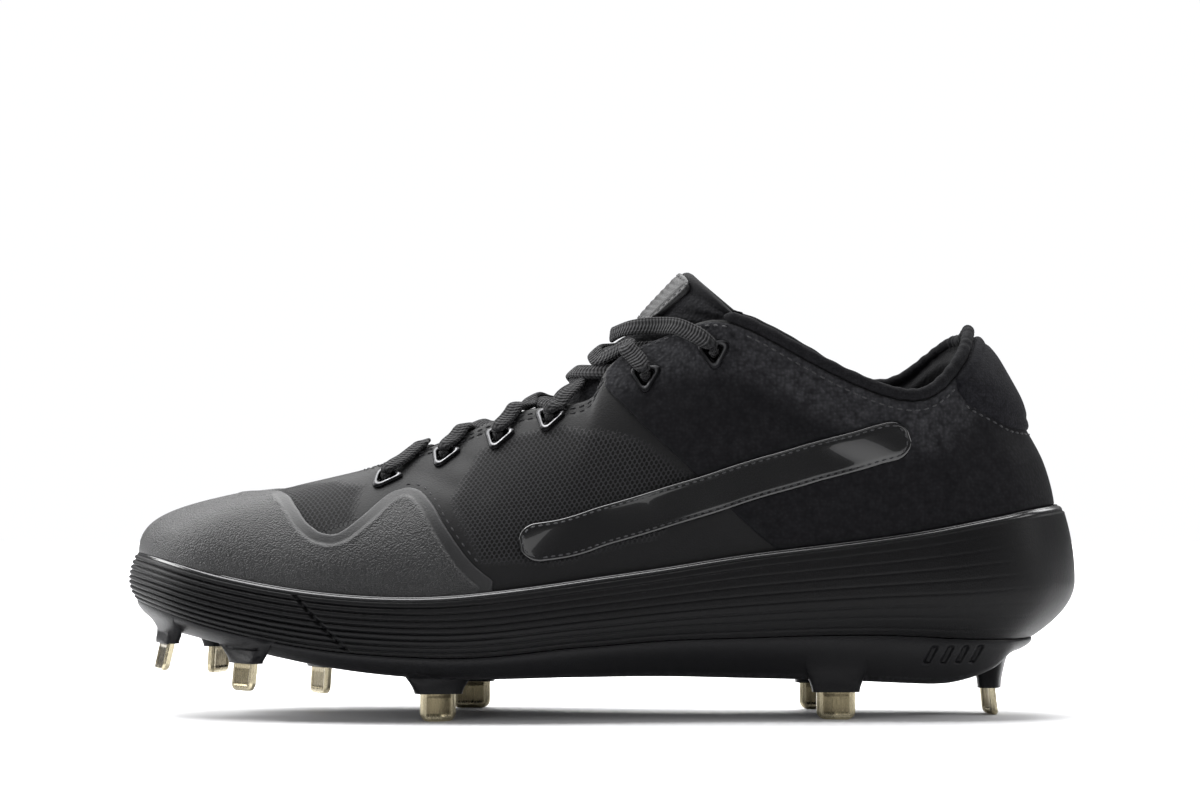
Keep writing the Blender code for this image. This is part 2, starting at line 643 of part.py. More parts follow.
def make_midsole(parts):
    """The foam carrier: a cup for the upper, a ribbed sidewall and a plug for the plate."""
    places = loop_places()
    rim, floor = rim_z(places), floor_z(places)
    cup = cup_inset(places)
    rings = [ring(places, cup + TUCK + 2.0, floor), ring(places, cup + TUCK - FIT_GAP, floor)]
    for height in (-0.55, 0.0):
        rings.append(off_upper(places, height, FIT_GAP))
    lip = SOLE_FLARE * column("rim_inset", places)
    edge = SOLE_HEIGHT * column("edge_rise", places)
    bulge = SOLE_HEIGHT * column("bulge_rise", places)
    edge_inset = SOLE_FLARE * column("edge_inset", places)
    depth = RIB_DEPTH * column("ribs", places)
    for k in range(2 * RIB_COUNT + 1):
        share = k / (2 * RIB_COUNT)
        z = rim + (edge - rim) * share
        over = np.clip((z - bulge) / (rim - bulge), 0, 1)
        under = np.clip((bulge - z) / (bulge - edge), 0, 1)
        groove = depth if k % 2 else 0.0
        rings.append(ring(places, lip * over**2 + edge_inset * under**2 + groove, z))
    plug = PLATE_STEP + PLATE_WALL + PLATE_GAP
    plate_inset = SOLE_FLARE * column("plate_inset", places)
    plate_z = SOLE_HEIGHT * column("plate_rise", places)
    rings.append(ring(places, edge_inset + plug, edge))
    rings.append(ring(places, plate_inset + plug, plate_z + PLATE_WALL + PLATE_GAP))
    return add_ring_solid("midsole", rings, FOAM, parts)


def spike_frame(spike):
    """Centre of the spike's tip, its width direction and the direction that it faces."""
    turn = math.radians(spike.turn)
    centre = np.array([(spike.along - 0.5) * LENGTH, spike.across * BALL_WIDTH, spike.tip * SOLE_HEIGHT])
    across = np.array([math.cos(turn), math.sin(turn), 0.0])
    return centre, across, np.array([-across[1], across[0], 0.0])


def add_blade(name, spike, margin, bottom, top, rounding, parts):
    """A bent blade between two heights over its tip, grown by a margin, lower corners rounded."""
    centre, across, facing = spike_frame(spike)
    half, thick = SPIKE_WIDTH / 2 + margin, SPIKE_THICKNESS / 2 + margin
    inward = -1.0 if spike.across > 0 else 1.0
    slope = math.tan(math.radians(spike.tilt))
    columns = []
    for share in (-1.0, -0.72, -0.1, 0.1, 0.72, 1.0):
        lift = rounding * max(0.0, (abs(share) - 0.72) / 0.28)
        bow = SPIKE_BEND * inward * max(0.0, (share * spike.bend - 0.1) / 0.9)
        foot = centre + across * half * share + facing * bow
        for level in (bottom + lift, top):
            columns.append(foot + [slope * (level - SPIKE_LENGTH), 0, level])
    columns = np.array(columns).reshape(6, 2, 3)
    push = facing * thick
    return add_sheet(name, columns - push, columns + push, SPIKE_STEEL, parts)


def plate_rings():
    """The plate's outside: its edge under the sidewall, its side and its underside."""
    places = loop_places()
    edge = SOLE_HEIGHT * column("edge_rise", places) - FIT_GAP
    bottom = SOLE_HEIGHT * column("plate_rise", places)
    wide = SOLE_FLARE * column("edge_inset", places) + PLATE_STEP
    narrow = SOLE_FLARE * column("plate_inset", places) + PLATE_STEP
    return [
        ring(places, wide, edge),
        ring(places, 0.55 * wide + 0.45 * narrow - 1.0, 0.5 * (edge + bottom)),
        ring(places, narrow, bottom),
    ]


def side_beside(x, y):
    """The outline's nearest place to a point of the floor: the place, how far it is, and
    the direction towards it."""
    places = np.linspace(0, ROUND, 1201)
    point, normal = outline(places)
    far = np.hypot(point[:, 0] - x, point[:, 1] - y)
    k = int(np.argmin(far))
    return places[k : k + 1], float(far[k]), np.array([*normal[k], 0.0])


def add_lug(name, spike, tools):
    """A tapered block that carries a spike. It leans out and merges with the plate's side."""
    centre, across, facing = spike_frame(spike)
    place, room, outward = side_beside(centre[0], centre[1])
    bottom = float(SOLE_HEIGHT * column("plate_rise", place)[0])
    edge = float(SOLE_HEIGHT * column("edge_rise", place)[0])
    side = float(SOLE_FLARE * column("plate_inset", place)[0])
    top = bottom + 0.4 * (edge - bottom)
    foot = centre[2] + SPIKE_LENGTH
    bowed = 0.3 * SPIKE_BEND * abs(spike.bend)
    thin = SPIKE_THICKNESS / 2 + bowed + LUG_MARGIN
    shift = spike.lean * max(0.0, room - side - thin - LUG_SPREAD / 2)
    sides = 10
    rings = []
    for share in (0.0, 0.45, 1.0):
        grow = LUG_SPREAD * share**1.3
        level = foot + (top - foot) * share
        inward = -1.0 if spike.across > 0 else 1.0
        middle = centre + outward * shift * share + facing * bowed * inward
        angle = (np.arange(sides) + 0.5) * 2 * math.pi / sides
        reach = np.sign(np.cos(angle)) * abs(np.cos(angle)) ** 0.6
        depth = np.sign(np.sin(angle)) * abs(np.sin(angle)) ** 0.6
        reach = reach * (SPIKE_WIDTH / 2 + LUG_MARGIN + grow)
        depth = depth * (thin + grow / 2)
        points = middle + np.outer(reach, across) + np.outer(depth, facing)
        points[:, 2] = level
        rings.append(points)
    faces = grid_faces(3, sides, wrap_columns=True)
    faces += [tuple(range(sides)), tuple(range(2 * sides, 3 * sides))]
    return add_mesh(name, np.concatenate(rings), faces, PLATE_PLASTIC, tools)


def make_outsole(parts, tools):
    """The plate: a tray under the midsole with a lug for each spike."""
    plate = add_ring_solid("outsole", plate_rings(), PLATE_PLASTIC, parts)
    lugs = [add_lug(f"lug_{spike.name}", spike, tools) for spike in SPIKES]
    for lug in lugs:
        combine(plate, [lug], "UNION")
    places = loop_places()
    edge = SOLE_HEIGHT * column("edge_rise", places)
    floor = SOLE_HEIGHT * column("plate_rise", places) + PLATE_WALL
    wide = SOLE_FLARE * column("edge_inset", places) + PLATE_STEP + PLATE_WALL
    narrow = SOLE_FLARE * column("plate_inset", places) + PLATE_STEP + PLATE_WALL
    tray = [ring(places, narrow, floor), ring(places, wide, edge)]
    tray.append(ring(places, wide, edge + SOLE_HEIGHT / 2))
    combine(plate, [add_ring_solid("tray", tray, PLATE_PLASTIC, tools)], "DIFFERENCE")
    return plate


def make_spikes(outsole, parts, tools):
    """Metal blades, each in a pocket of its lug."""
    root = SPIKE_LENGTH + SPIKE_ROOT
    for spike in SPIKES:
        low, high = -FIT_GAP, root + FIT_GAP
        pocket = add_blade(f"pocket_{spike.name}", spike, FIT_GAP, low, high, 0.0, tools)
        combine(outsole, [pocket], "DIFFERENCE")
    for spike in SPIKES:
        add_blade(spike.name, spike, 0.0, 0.0, root, SPIKE_ROUNDING, parts)


def make_toe_cap(parts):
    """The moulded cap round the toe, with its wavy upper edge."""
    rows = edge_rows(TOE_CAP, 0.0)
    add_patch("toe_cap", rows, 6, PANEL_GAP, CAP_THICKNESS, CAP_RUBBER, parts)


def make_quarter(parts, tools):
    """The rear panel, from the seam under the fifth eyelet round the heel."""
    rows = edge_rows(QUARTER, float(HEEL))
    quarter = add_patch("quarter", rows, 8, PANEL_GAP, QUARTER_THICKNESS, TEXTILE, parts)
    for side, number, place, height, base in eyelet_places():
        if base:
            depth = (-UPPER_WALL, UPPER_WALL)
            hole = add_eyelet_prism(f"hole_{side}_{number}", place, height, depth, tools)
            combine(quarter, [hole], "DIFFERENCE")


def make_heel_pad(parts):
    """The padded grip over the quarter at the heel's top."""
    rows = edge_rows(HEEL_PAD, float(HEEL))
    columns = 7
    u = np.linspace(-1, 1, len(rows[0]))[:, None]
    v = np.linspace(-1, 1, columns)[None, :]
    swell = (1 - u**4) * (1 - abs(v) ** 3)
    thickness = PAD_EDGE + (PAD_THICKNESS - PAD_EDGE) * swell
    inner = PANEL_GAP + QUARTER_THICKNESS + FIT_GAP
    add_patch("heel_pad", rows, columns, inner, thickness, TEXTILE, parts)


def make_straps(parts):
    """A glossy slanting band on each side. It climbs onto the quarter where it meets it."""
    places, low, high = edge_rows(STRAP)
    climb = np.clip((places - 7.5) / 0.5, 0, 1)[:, None]
    inner = PANEL_GAP + climb * (QUARTER_THICKNESS + FIT_GAP)
    add_patch("strap_lateral", (places, low, high), 5, inner, STRAP_THICKNESS, PATENT, parts)
    mirrored = (ROUND - places, low, high)
    add_patch("strap_medial", mirrored, 5, inner, STRAP_THICKNESS, PATENT, parts)


def make_collar_piping(parts):
    """The rolled binding that runs on the collar's edge."""
    places = np.linspace(8.9, ROUND - 8.9, 49)
    up = upper_surface(places, 1.0) - upper_surface(places, 0.98)
    up /= np.linalg.norm(up, axis=1, keepdims=True)
    line = off_upper(places, 1.0, -UPPER_WALL / 2) + up * (PIPING_RADIUS + 2 * FIT_GAP)
    return add_cord("collar_piping", line, PIPING_RADIUS, TEXTILE, parts)


def tongue_surface(rows, sides):
    """The tongue's outer face. rows count down its table; a side of 1 is where it passes the
    upper's edge on the medial side, 2 its own edge, and minus the same on the lateral."""
    rows, sides = np.broadcast_arrays(np.asarray(rows, float), np.asarray(sides, float))
    shape = rows.shape
    rows, sides = rows.ravel(), sides.ravel()
    own = np.arange(len(TONGUES))
    place, reach, lift, along, rise = (np.interp(rows, own, part) for part in zip(*TONGUES))
    middle = np.stack(
        [(along - 0.5) * LENGTH, np.zeros(len(rows)), rise * (SOLE_HEIGHT + UPPER_RISE)], axis=1
    )
    place = np.where(sides < 0, place, ROUND - place)
    inside = -(UPPER_WALL + TONGUE_CLEARANCE)
    edge = off_upper(place, 1 + lift, inside)
    beyond = off_upper(place, 1 + lift - reach * np.clip(abs(sides) - 1, 0, None), inside)
    knee = middle + edge * [0.0, 0.6, 0.0]
    across = bezier([middle, knee, edge], np.clip(abs(sides), 0, 1))
    return np.where((abs(sides) <= 1)[:, None], across, beyond).reshape(shape + (3,))


def off_tongue(rows, sides, offset):
    """A point at an offset from the tongue's outer face, negative into the shoe."""
    nudge = 1e-3
    back = np.where(np.asarray(rows) > len(TONGUES) - 1 - 2 * nudge, -1.0, 1.0)[..., None]
    side = np.where(np.asarray(sides) > 0, -1.0, 1.0)[..., None]
    here = tongue_surface(rows, sides)
    up = (tongue_surface(rows + nudge * back[..., 0], sides) - here) * back
    over = (tongue_surface(rows, sides + nudge * side[..., 0]) - here) * side
    normal = np.cross(up, over)
    return here + normal / np.linalg.norm(normal, axis=-1, keepdims=True) * offset


def make_tongue(parts):
    rows = np.arange(2 * len(TONGUES) - 1)[:, None] / 2
    sides = np.array([-2, -1.5, -1, -0.5, 0, 0.5, 1, 1.5, 2])[None, :]
    rows, sides = (grid.copy() for grid in np.broadcast_arrays(rows, sides))
    under = off_tongue(rows, sides, -TONGUE_THICKNESS)
    return add_sheet("tongue", under, off_tongue(rows, sides, 0.0), TEXTILE, parts)


def make_label(parts):
    """The smooth panel on the tongue's front, below its top."""
    rows = np.linspace(7.5, 8.8, 5)[:, None]
    sides = np.linspace(-0.5, 0.5, 5)[None, :]
    rows, sides = (grid.copy() for grid in np.broadcast_arrays(rows, sides))
    low = 2 * FIT_GAP
    under, over = (off_tongue(rows, sides, level) for level in (low, low + LABEL_THICKNESS))
    return add_sheet("tongue_label", under, over, CAP_RUBBER, parts)


def lace_rise(number, side):
    """A lace's way out of an eyelet and over the throat's edge: points, normals, widths."""
    eyelet, lean = EYELETS[number], CROSSINGS[number].lean
    base = eyelet.stacked * (PANEL_GAP + QUARTER_THICKNESS)
    span = off_upper(eyelet.place, eyelet.height + 0.01, 0.0) - off_upper(
        eyelet.place, eyelet.height, 0.0
    )
    climb = np.linalg.norm(span) / 0.01
    reach = (1 - eyelet.height) * climb
    half = LACE_THICKNESS / 2
    over_rim = base + EYELET_SEAT + EYELET_HEIGHT + FIT_GAP + half
    travel = np.array([0.0, 0.2, 1.3, 3.4, reach, reach + 1.6])
    offsets = np.array([-1.0, 0.6 + base, over_rim, over_rim, base + half + 0.8, base + half])
    places = eyelet.place + lean * np.clip((travel - 2.0) / (reach - 2.0), 0, 1)
    heights = eyelet.height + travel / climb
    if side > 0:
        places = ROUND - places
    line = off_upper(places, heights, offsets)
    normals = upper_normal(places, heights)
    normals[0] = normals[1] = line[3] - line[2]
    gather = np.array([LACE_GATHER, LACE_GATHER, 0.7, 0.9, 1.0, 1.0])
    return line, normals, gather * LACE_WIDTH


def lace_over(row, side, stops, climbs, lift=0.0):
    """A lace's way over the tongue: points, normals, widths."""
    half = LACE_THICKNESS / 2
    sides = -side * np.asarray(stops, float)
    rows = row + np.asarray(climbs, float)
    lift = lift + np.interp(stops, [-0.5, 0.0, 0.45, 0.85], [1.6, 1.4, 1.2, 0.5])
    line = off_tongue(rows, sides, (lift + half)[:, None])
    normals = off_tongue(rows, sides, 1.0) - off_tongue(rows, sides, 0.0)
    return line, normals, np.full(len(sides), LACE_WIDTH)


def finer(line, *others):
    """The rows of a route and of what goes with it, with one more row on the smooth curve
    through them wherever two are far apart."""
    rows = np.column_stack([line, *others])
    gaps = np.linalg.norm(np.diff(line, axis=0), axis=1)
    run = np.concatenate([[0.0], np.cumsum(gaps)])
    slopes = np.gradient(rows, run, axis=0)
    middles = (rows[1:] + rows[:-1]) / 2 + (slopes[:-1] - slopes[1:]) * gaps[:, None] / 8
    wide = np.flatnonzero(gaps > LACE_STEP)
    return np.insert(rows, wide + 1, middles[wide], axis=0)


def add_band(name, line, normals, widths, thickness, parts):
    """A flat cord along a line of points, its flat side facing along the normals."""
    rows = finer(line, normals, widths)
    line, normals, widths = rows[:, :3], rows[:, 3:6], rows[:, 6]
    tangent = np.gradient(line, axis=0)
    tangent /= np.linalg.norm(tangent, axis=1, keepdims=True)
    across = np.cross(tangent, normals)
    across /= np.linalg.norm(across, axis=1, keepdims=True)
    up = np.cross(across, tangent)
    section = [(-0.5, -0.5), (-0.5, 0.5), (0.5, 0.5), (0.5, -0.5)]
    points = np.stack(
        [
            line + across * (u * widths)[:, None] + up * v * thickness
            for u, v in section
        ],
        axis=1,
    )
    count = len(section)
    last = (len(line) - 1) * count
    faces = grid_faces(len(line), count, wrap_columns=True)
    faces += [tuple(range(count)), tuple(last + k for k in range(count))]
    return add_mesh(name, points.reshape(-1, 3), faces, LACE_CORD, parts)


def make_laces(parts, tools):
    """One piece for each crossing, its two strands joined, and the loop at the top."""
    for number, crossing in enumerate(CROSSINGS[:-1]):
        strands = []
        for side in (-1, 1):
            up = lace_rise(number, side)
            climbs = [-0.12, 0.0, 0.12, *(crossing.rise * np.array([0.7, 0.9, 1.0]))]
            over = lace_over(crossing.row, side, [-0.45, 0.0, 0.45, 0.85, 1.08, 1.32], climbs)
            line, normals, widths = (np.concatenate(both) for both in zip(up, over))
            thickness = LACE_THICKNESS * (1.0 if side < 0 else 0.96)
            group = parts if side < 0 else tools
            name = f"lace_{number + 1}" if side < 0 else f"strand_{number + 1}"
            strands.append(add_band(name, line, normals, widths, thickness, group))
        combine(strands[0], strands[1:], "UNION")
    first, second = (lace_rise(len(EYELETS) - 1, side) for side in (-1, 1))
    stops = np.array([-0.7, -0.35, 0.0, 0.35, 0.7])
    over = lace_over(CROSSINGS[-1].row, -1, stops, LOOP_CLIMB * abs(stops), LOOP_LIFT)
    loop_band = [np.concatenate([a[:-1], b, c[-2::-1]]) for a, b, c in zip(first, over, second)]
    name = f"lace_{len(CROSSINGS)}"
    add_band(name, *loop_band, LACE_THICKNESS, parts)


def clear_scene():
    for old in list(bpy.data.objects):
        bpy.data.objects.remove(old)


def collection(name, hidden=False):
    made = bpy.data.collections.new(name)
    bpy.context.scene.collection.children.link(made)
    made.hide_render = hidden
    return made


def main():
    clear_scene()
    parts = collection("baseball_cleat")
    tools = collection("cutters", hidden=True)
    make_upper(parts, tools)
    make_insole(parts)
    make_midsole(parts)
    outsole = make_outsole(parts, tools)
    make_spikes(outsole, parts, tools)
    make_toe_cap(parts)
    make_quarter(parts, tools)
    make_heel_pad(parts)
    make_straps(parts)
    make_collar_piping(parts)
    make_tongue(parts)
    make_label(parts)
    make_laces(parts, tools)
    for side, number, place, height, base in eyelet_places():
        add_eyelet(f"eyelet_{side}_{number}", place, height, base, parts)


if __name__ == "__main__":
    main()
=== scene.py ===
# Low baseball cleat with metal spikes: the left shoe of a pair, empty, standing on its spikes.
# The toe points to -X and the outer side to -Y, the side that the camera sees. Lengths in the
# dictionaries are millimetres unless a note says otherwise. A spot on the shoe is given by its
# place, from the toe (0) along the outer side to the heel (15) and back to the toe (30), and
# by its height on the wall: 0 at the sole's rim, 1 at the top edge.
import math

import bmesh
import bpy
import numpy as np
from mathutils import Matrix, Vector


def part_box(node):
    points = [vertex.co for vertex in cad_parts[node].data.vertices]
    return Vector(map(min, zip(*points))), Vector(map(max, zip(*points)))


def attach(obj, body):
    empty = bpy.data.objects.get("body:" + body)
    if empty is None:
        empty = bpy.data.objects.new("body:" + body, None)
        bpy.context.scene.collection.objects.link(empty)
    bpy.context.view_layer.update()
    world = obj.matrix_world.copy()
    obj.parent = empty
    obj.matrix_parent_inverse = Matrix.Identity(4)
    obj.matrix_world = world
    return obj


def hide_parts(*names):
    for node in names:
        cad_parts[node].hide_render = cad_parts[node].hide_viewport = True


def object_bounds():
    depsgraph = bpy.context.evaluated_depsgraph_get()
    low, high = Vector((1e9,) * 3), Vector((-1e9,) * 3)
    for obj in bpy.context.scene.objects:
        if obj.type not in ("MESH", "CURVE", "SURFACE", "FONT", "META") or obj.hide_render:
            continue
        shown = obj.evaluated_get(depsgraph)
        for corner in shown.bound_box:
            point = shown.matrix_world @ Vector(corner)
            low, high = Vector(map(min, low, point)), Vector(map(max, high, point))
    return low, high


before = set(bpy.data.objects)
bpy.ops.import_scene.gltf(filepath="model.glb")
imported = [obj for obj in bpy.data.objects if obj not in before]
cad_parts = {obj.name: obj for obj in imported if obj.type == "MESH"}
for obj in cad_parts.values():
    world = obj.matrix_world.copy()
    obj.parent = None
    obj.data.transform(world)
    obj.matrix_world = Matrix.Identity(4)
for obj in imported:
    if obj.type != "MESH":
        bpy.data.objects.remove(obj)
cadLow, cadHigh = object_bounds()
mm = 0.001
heel, around = 15, 30
nudge = 1e-3  # step in place, height or row for a slope

shoe = {
    "length": (cadHigh.x - cadLow.x) / mm,
    "ballWidth": (cadHigh.y - cadLow.y) / mm,
    "heelWidth": 77.0,
    "soleHeight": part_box("midsole")[1].z / mm,
    "upperRise": 54.0,
    "flare": 4.0,  # how far the sidewall stands out beyond its rim
    "lip": 3.2,  # width of the rim round the upper
    "tuck": 5.0,  # how far the upper turns in under the foot
    "gap": 0.3,  # between two pieces that meet
    "wall": 2.2,  # the upper's thickness
}

# one number for each section, toe to heel: widths as shares of the local width, rises as
# shares of the sole's height, insets as shares of the flare
sole = {
    "along": [0, 0.033, 0.1, 0.2, 0.3, 0.38, 0.455, 0.5, 0.57, 0.65, 0.74, 0.82, 0.88, 0.94,
              0.978, 1],
    "heelness": [0, 0, 0, 0, 0, 0.1, 0.35, 0.5, 0.75, 1, 1, 1, 1, 1, 1, 1],
    "lateral": [0.075, -0.2, -0.35, -0.448, -0.489, -0.513, -0.523, -0.514, -0.513, -0.526, -0.516,
                -0.51, -0.487, -0.4, -0.25, -0.005],
    "medial": [0.075, 0.318, 0.44, 0.488, 0.5, 0.484, 0.46, 0.436, 0.418, 0.426, 0.431, 0.455,
               0.461, 0.39, 0.245, -0.005],
    "rim": [0.777, 0.757, 0.686, 0.614, 0.589, 0.611, 0.652, 0.68, 0.724, 0.78, 0.83, 0.879, 0.924,
            0.97, 0.992, 1],
    "floor": [0.64, 0.605, 0.515, 0.44, 0.405, 0.405, 0.43, 0.45, 0.485, 0.52, 0.55, 0.575, 0.59,
              0.6, 0.605, 0.605],
    "bulge": [0.64, 0.61, 0.54, 0.475, 0.44, 0.44, 0.47, 0.49, 0.525, 0.56, 0.59, 0.606, 0.62,
              0.636, 0.642, 0.642],
    "edge": [0.556, 0.515, 0.432, 0.348, 0.312, 0.312, 0.345, 0.36, 0.383, 0.394, 0.405, 0.4,
             0.385, 0.378, 0.376, 0.378],
    "edgeInset": [0.5, 0.5, 0.7, 0.9, 1, 1, 1, 1, 1, 1, 1.2, 1.6, 2, 2.6, 3.1, 3.3],
    "plate": [0.415, 0.395, 0.345, 0.26, 0.21, 0.2, 0.205, 0.205, 0.205, 0.195, 0.185, 0.17, 0.175,
              0.24, 0.3, 0.31],
    "plateInset": [2.2, 2.2, 2.2, 2.2, 2.2, 2.3, 2.5, 2.8, 3, 3, 2.8, 2.8, 3, 3.5, 3.8, 4],
    "rimInset": [0.7, 0.6, 0.45, 0.35, 0.3, 0.3, 0.4, 0.5, 0.6, 0.65, 0.7, 0.75, 0.8, 0.9, 1, 1],
    "lip": [0.45, 0.55, 0.8, 1, 1, 1, 1, 1, 1, 1, 1, 1, 1, 1, 1, 1],
}

# the upper's top edge and how its wall climbs to it: lean and pitch in degrees
wall = {
    "along": [0.262, 0.264, 0.273, 0.301, 0.355, 0.425, 0.488, 0.51, 0.575, 0.634, 0.715, 0.79,
              0.842, 0.876, 0.888, 0.892],
    "lateral": [0, -0.048, -0.084, -0.108, -0.125, -0.145, -0.185, -0.15, -0.185, -0.265, -0.318,
                -0.325, -0.3, -0.215, -0.11, 0],
    "medial": [0, 0.048, 0.084, 0.108, 0.125, 0.145, 0.175, 0.145, 0.175, 0.25, 0.3, 0.31, 0.3,
               0.215, 0.11, 0],
    "riseLateral": [0.495, 0.524, 0.633, 0.787, 0.93, 1.045, 1.062, 1.222, 1.355, 1.35, 1.066,
                    0.812, 0.74, 0.86, 0.955, 1],
    "riseMedial": [0.495, 0.524, 0.633, 0.787, 0.93, 1.045, 1.08, 1.24, 1.375, 1.36, 1.09, 0.82,
                   0.87, 0.955, 0.955, 1],
    "shoulder": [0.18, 0.19, 0.24, 0.3, 0.36, 0.38, 0.36, 0.36, 0.36, 0.34, 0.34, 0.34, 0.34, 0.34,
                 0.36, 0.36],
    "lean": [0, 0, 2, 4, 6, 7, 7, 7, 7, 7, 6, 5, 5, 6, 7, 8],
    "crown": [0.7, 0.64, 0.52, 0.38, 0.32, 0.3, 0.28, 0.28, 0.3, 0.32, 0.3, 0.3, 0.3, 0.3, 0.3,
              0.3],
    "pitch": [13.5, 14, 18, 30, 40, 44, 46, 46, 56, 70, 82, 88, 88, 84, 80, 76],
}


# curves and the shoe's own surface


def lengths(vectors):
    return np.linalg.norm(vectors, axis=-1)


def unit(vectors):
    return vectors / np.linalg.norm(vectors, axis=-1, keepdims=True)


def bell(x, halfWidth):
    # 1 at nought and falling off on both sides: exp(-(x / half width)^2)
    return np.exp(-((x / halfWidth) ** 2))


def quarterRound(f, least=0):
    # a quarter circle's rise from 0 to 1: sqrt(1 - (1 - f)^2)
    return np.sqrt(np.clip(1 - (1 - np.clip(f, 0, 1)) ** 2, least, 1))


def easedSteps(count):
    # 0 to 1 with closer steps at both ends: half of 1 - cos
    return 0.5 - 0.5 * np.cos(np.linspace(0, math.pi, count))


def fromToe(places):
    # places of the inner side turned into those of the outer one
    return np.minimum(places, around - places)


def throughLoop(values, places):
    # smooth closed curve through a loop of numbers: periodic cubic B-spline whose weights are
    # solved so that it passes through each number
    values = np.asarray(values, float)
    count = len(values)
    ring = np.eye(count)
    weights = ring * 4 / 6 + (np.roll(ring, 1, 0) + np.roll(ring, -1, 0)) / 6
    knots = np.linalg.solve(weights, values)
    places = np.asarray(places, float) % count
    start = np.floor(places).astype(int)
    f = places - start
    basis = ((1 - f) ** 3, 3 * f**3 - 6 * f**2 + 4, -3 * f**3 + 3 * f**2 + 3 * f + 1, f**3)
    return sum(w * knots[(start + k - 1) % count] for k, w in enumerate(basis)) / 6


def bothSides(lateral, medial=None):
    # toe to heel on the outer side, back to the toe on the inner one
    lateral = list(lateral)
    return lateral + list(medial if medial is not None else lateral)[-2:0:-1]


def soleShare(name, places):
    return throughLoop(bothSides(sole[name]), places)


def wallShare(name, places):
    return throughLoop(bothSides(wall[name]), places)


def soleZ(name, places):
    return shoe["soleHeight"] * soleShare(name, places)


def soleOutline(places):
    # widest outline from above and its outward normal, from the tangent between two near places
    narrower = shoe["heelWidth"] - shoe["ballWidth"]
    widths = shoe["ballWidth"] + narrower * np.array(sole["heelness"])
    along = bothSides((np.array(sole["along"]) - 0.5) * shoe["length"])
    across = bothSides(np.array(sole["lateral"]) * widths, np.array(sole["medial"]) * widths)

    def spot(at):
        return np.stack([throughLoop(along, at), throughLoop(across, at)], axis=-1)

    point = spot(places)
    tangent = unit(spot(places + nudge) - point)
    return point, np.stack([tangent[..., 1], -tangent[..., 0]], axis=-1)


def outlineRing(places, inset, z):
    # the outline drawn in by an inset, at heights z
    point, normal = soleOutline(places)
    flat = point - normal * (np.asarray(inset, float) + np.zeros(len(point)))[:, None]
    return np.concatenate([flat, (z + np.zeros(len(flat)))[:, None]], axis=1)


def cupInset(places):
    return shoe["flare"] * soleShare("rimInset", places) + shoe["lip"] * soleShare("lip", places)


def topEdge(places):
    rim = soleZ("rim", np.arange(around))
    rise = np.array(bothSides(wall["riseLateral"], wall["riseMedial"]))
    across = np.array(bothSides(wall["lateral"], wall["medial"]))
    along = np.array(bothSides(wall["along"]))
    return np.stack(
        [
            throughLoop((along - 0.5) * shoe["length"], places),
            throughLoop(across * shoe["ballWidth"], places),
            throughLoop(rim + shoe["upperRise"] * rise, places),
        ],
        axis=-1,
    )


def bezier(points, f):
    # sum of the points, each times its binomial weight
    degree = len(points) - 1
    f = np.asarray(f)[..., None]
    weights = (math.comb(degree, k) * (1 - f) ** (degree - k) * f**k for k in range(degree + 1))
    return sum(weight * point for weight, point in zip(weights, points))


def bareWall(places, heights):
    # the upper's outer face before its folds: a cubic Bezier from the sole's rim to the top
    # edge, its first arm leaning in and its last falling from the edge; below 0 it turns
    # under the foot on a quadratic one
    places, heights = np.broadcast_arrays(np.asarray(places, float), np.asarray(heights, float))
    shape = places.shape
    places, heights = places.ravel(), heights.ravel()
    inset = cupInset(places) + shoe["gap"]
    belly = outlineRing(places, inset, soleZ("rim", places))
    foot = outlineRing(places, inset + shoe["tuck"], soleZ("floor", places) + shoe["gap"])
    corner = np.concatenate([belly[:, :2], foot[:, 2:]], axis=1)
    edge = topEdge(places)
    span = lengths(edge - belly)[:, None]
    inward = unit(edge[:, :2] - belly[:, :2])
    lean = np.radians(wallShare("lean", places))[:, None]
    pitch = np.radians(wallShare("pitch", places))[:, None]
    rise = np.concatenate([inward * np.sin(lean), np.cos(lean)], axis=1)
    fall = np.concatenate([-inward * np.cos(pitch), -np.sin(pitch)], axis=1)
    shoulder = belly + rise * span * wallShare("shoulder", places)[:, None]
    crown = edge + fall * span * wallShare("crown", places)[:, None]
    above = bezier([belly, shoulder, crown, edge], np.clip(heights, 0, None))
    below = bezier([belly, corner, foot], np.clip(-heights, 0, 1))
    return np.where((heights >= 0)[:, None], above, below).reshape(shape + (3,))


def wallSlopes(places, heights):
    # how the wall moves for one step of place and one of height, and its outward normal
    places, heights = np.broadcast_arrays(np.asarray(places, float), np.asarray(heights, float))
    side = np.where(heights > 1 - 2 * nudge, -1.0, 1.0)
    here = bareWall(places, heights)
    alongWay = (bareWall(places + nudge, heights) - here) / nudge
    upWay = (bareWall(places, heights + nudge * side) - here) * side[..., None] / nudge
    return here, alongWay, upWay, unit(np.cross(alongWay, upWay))


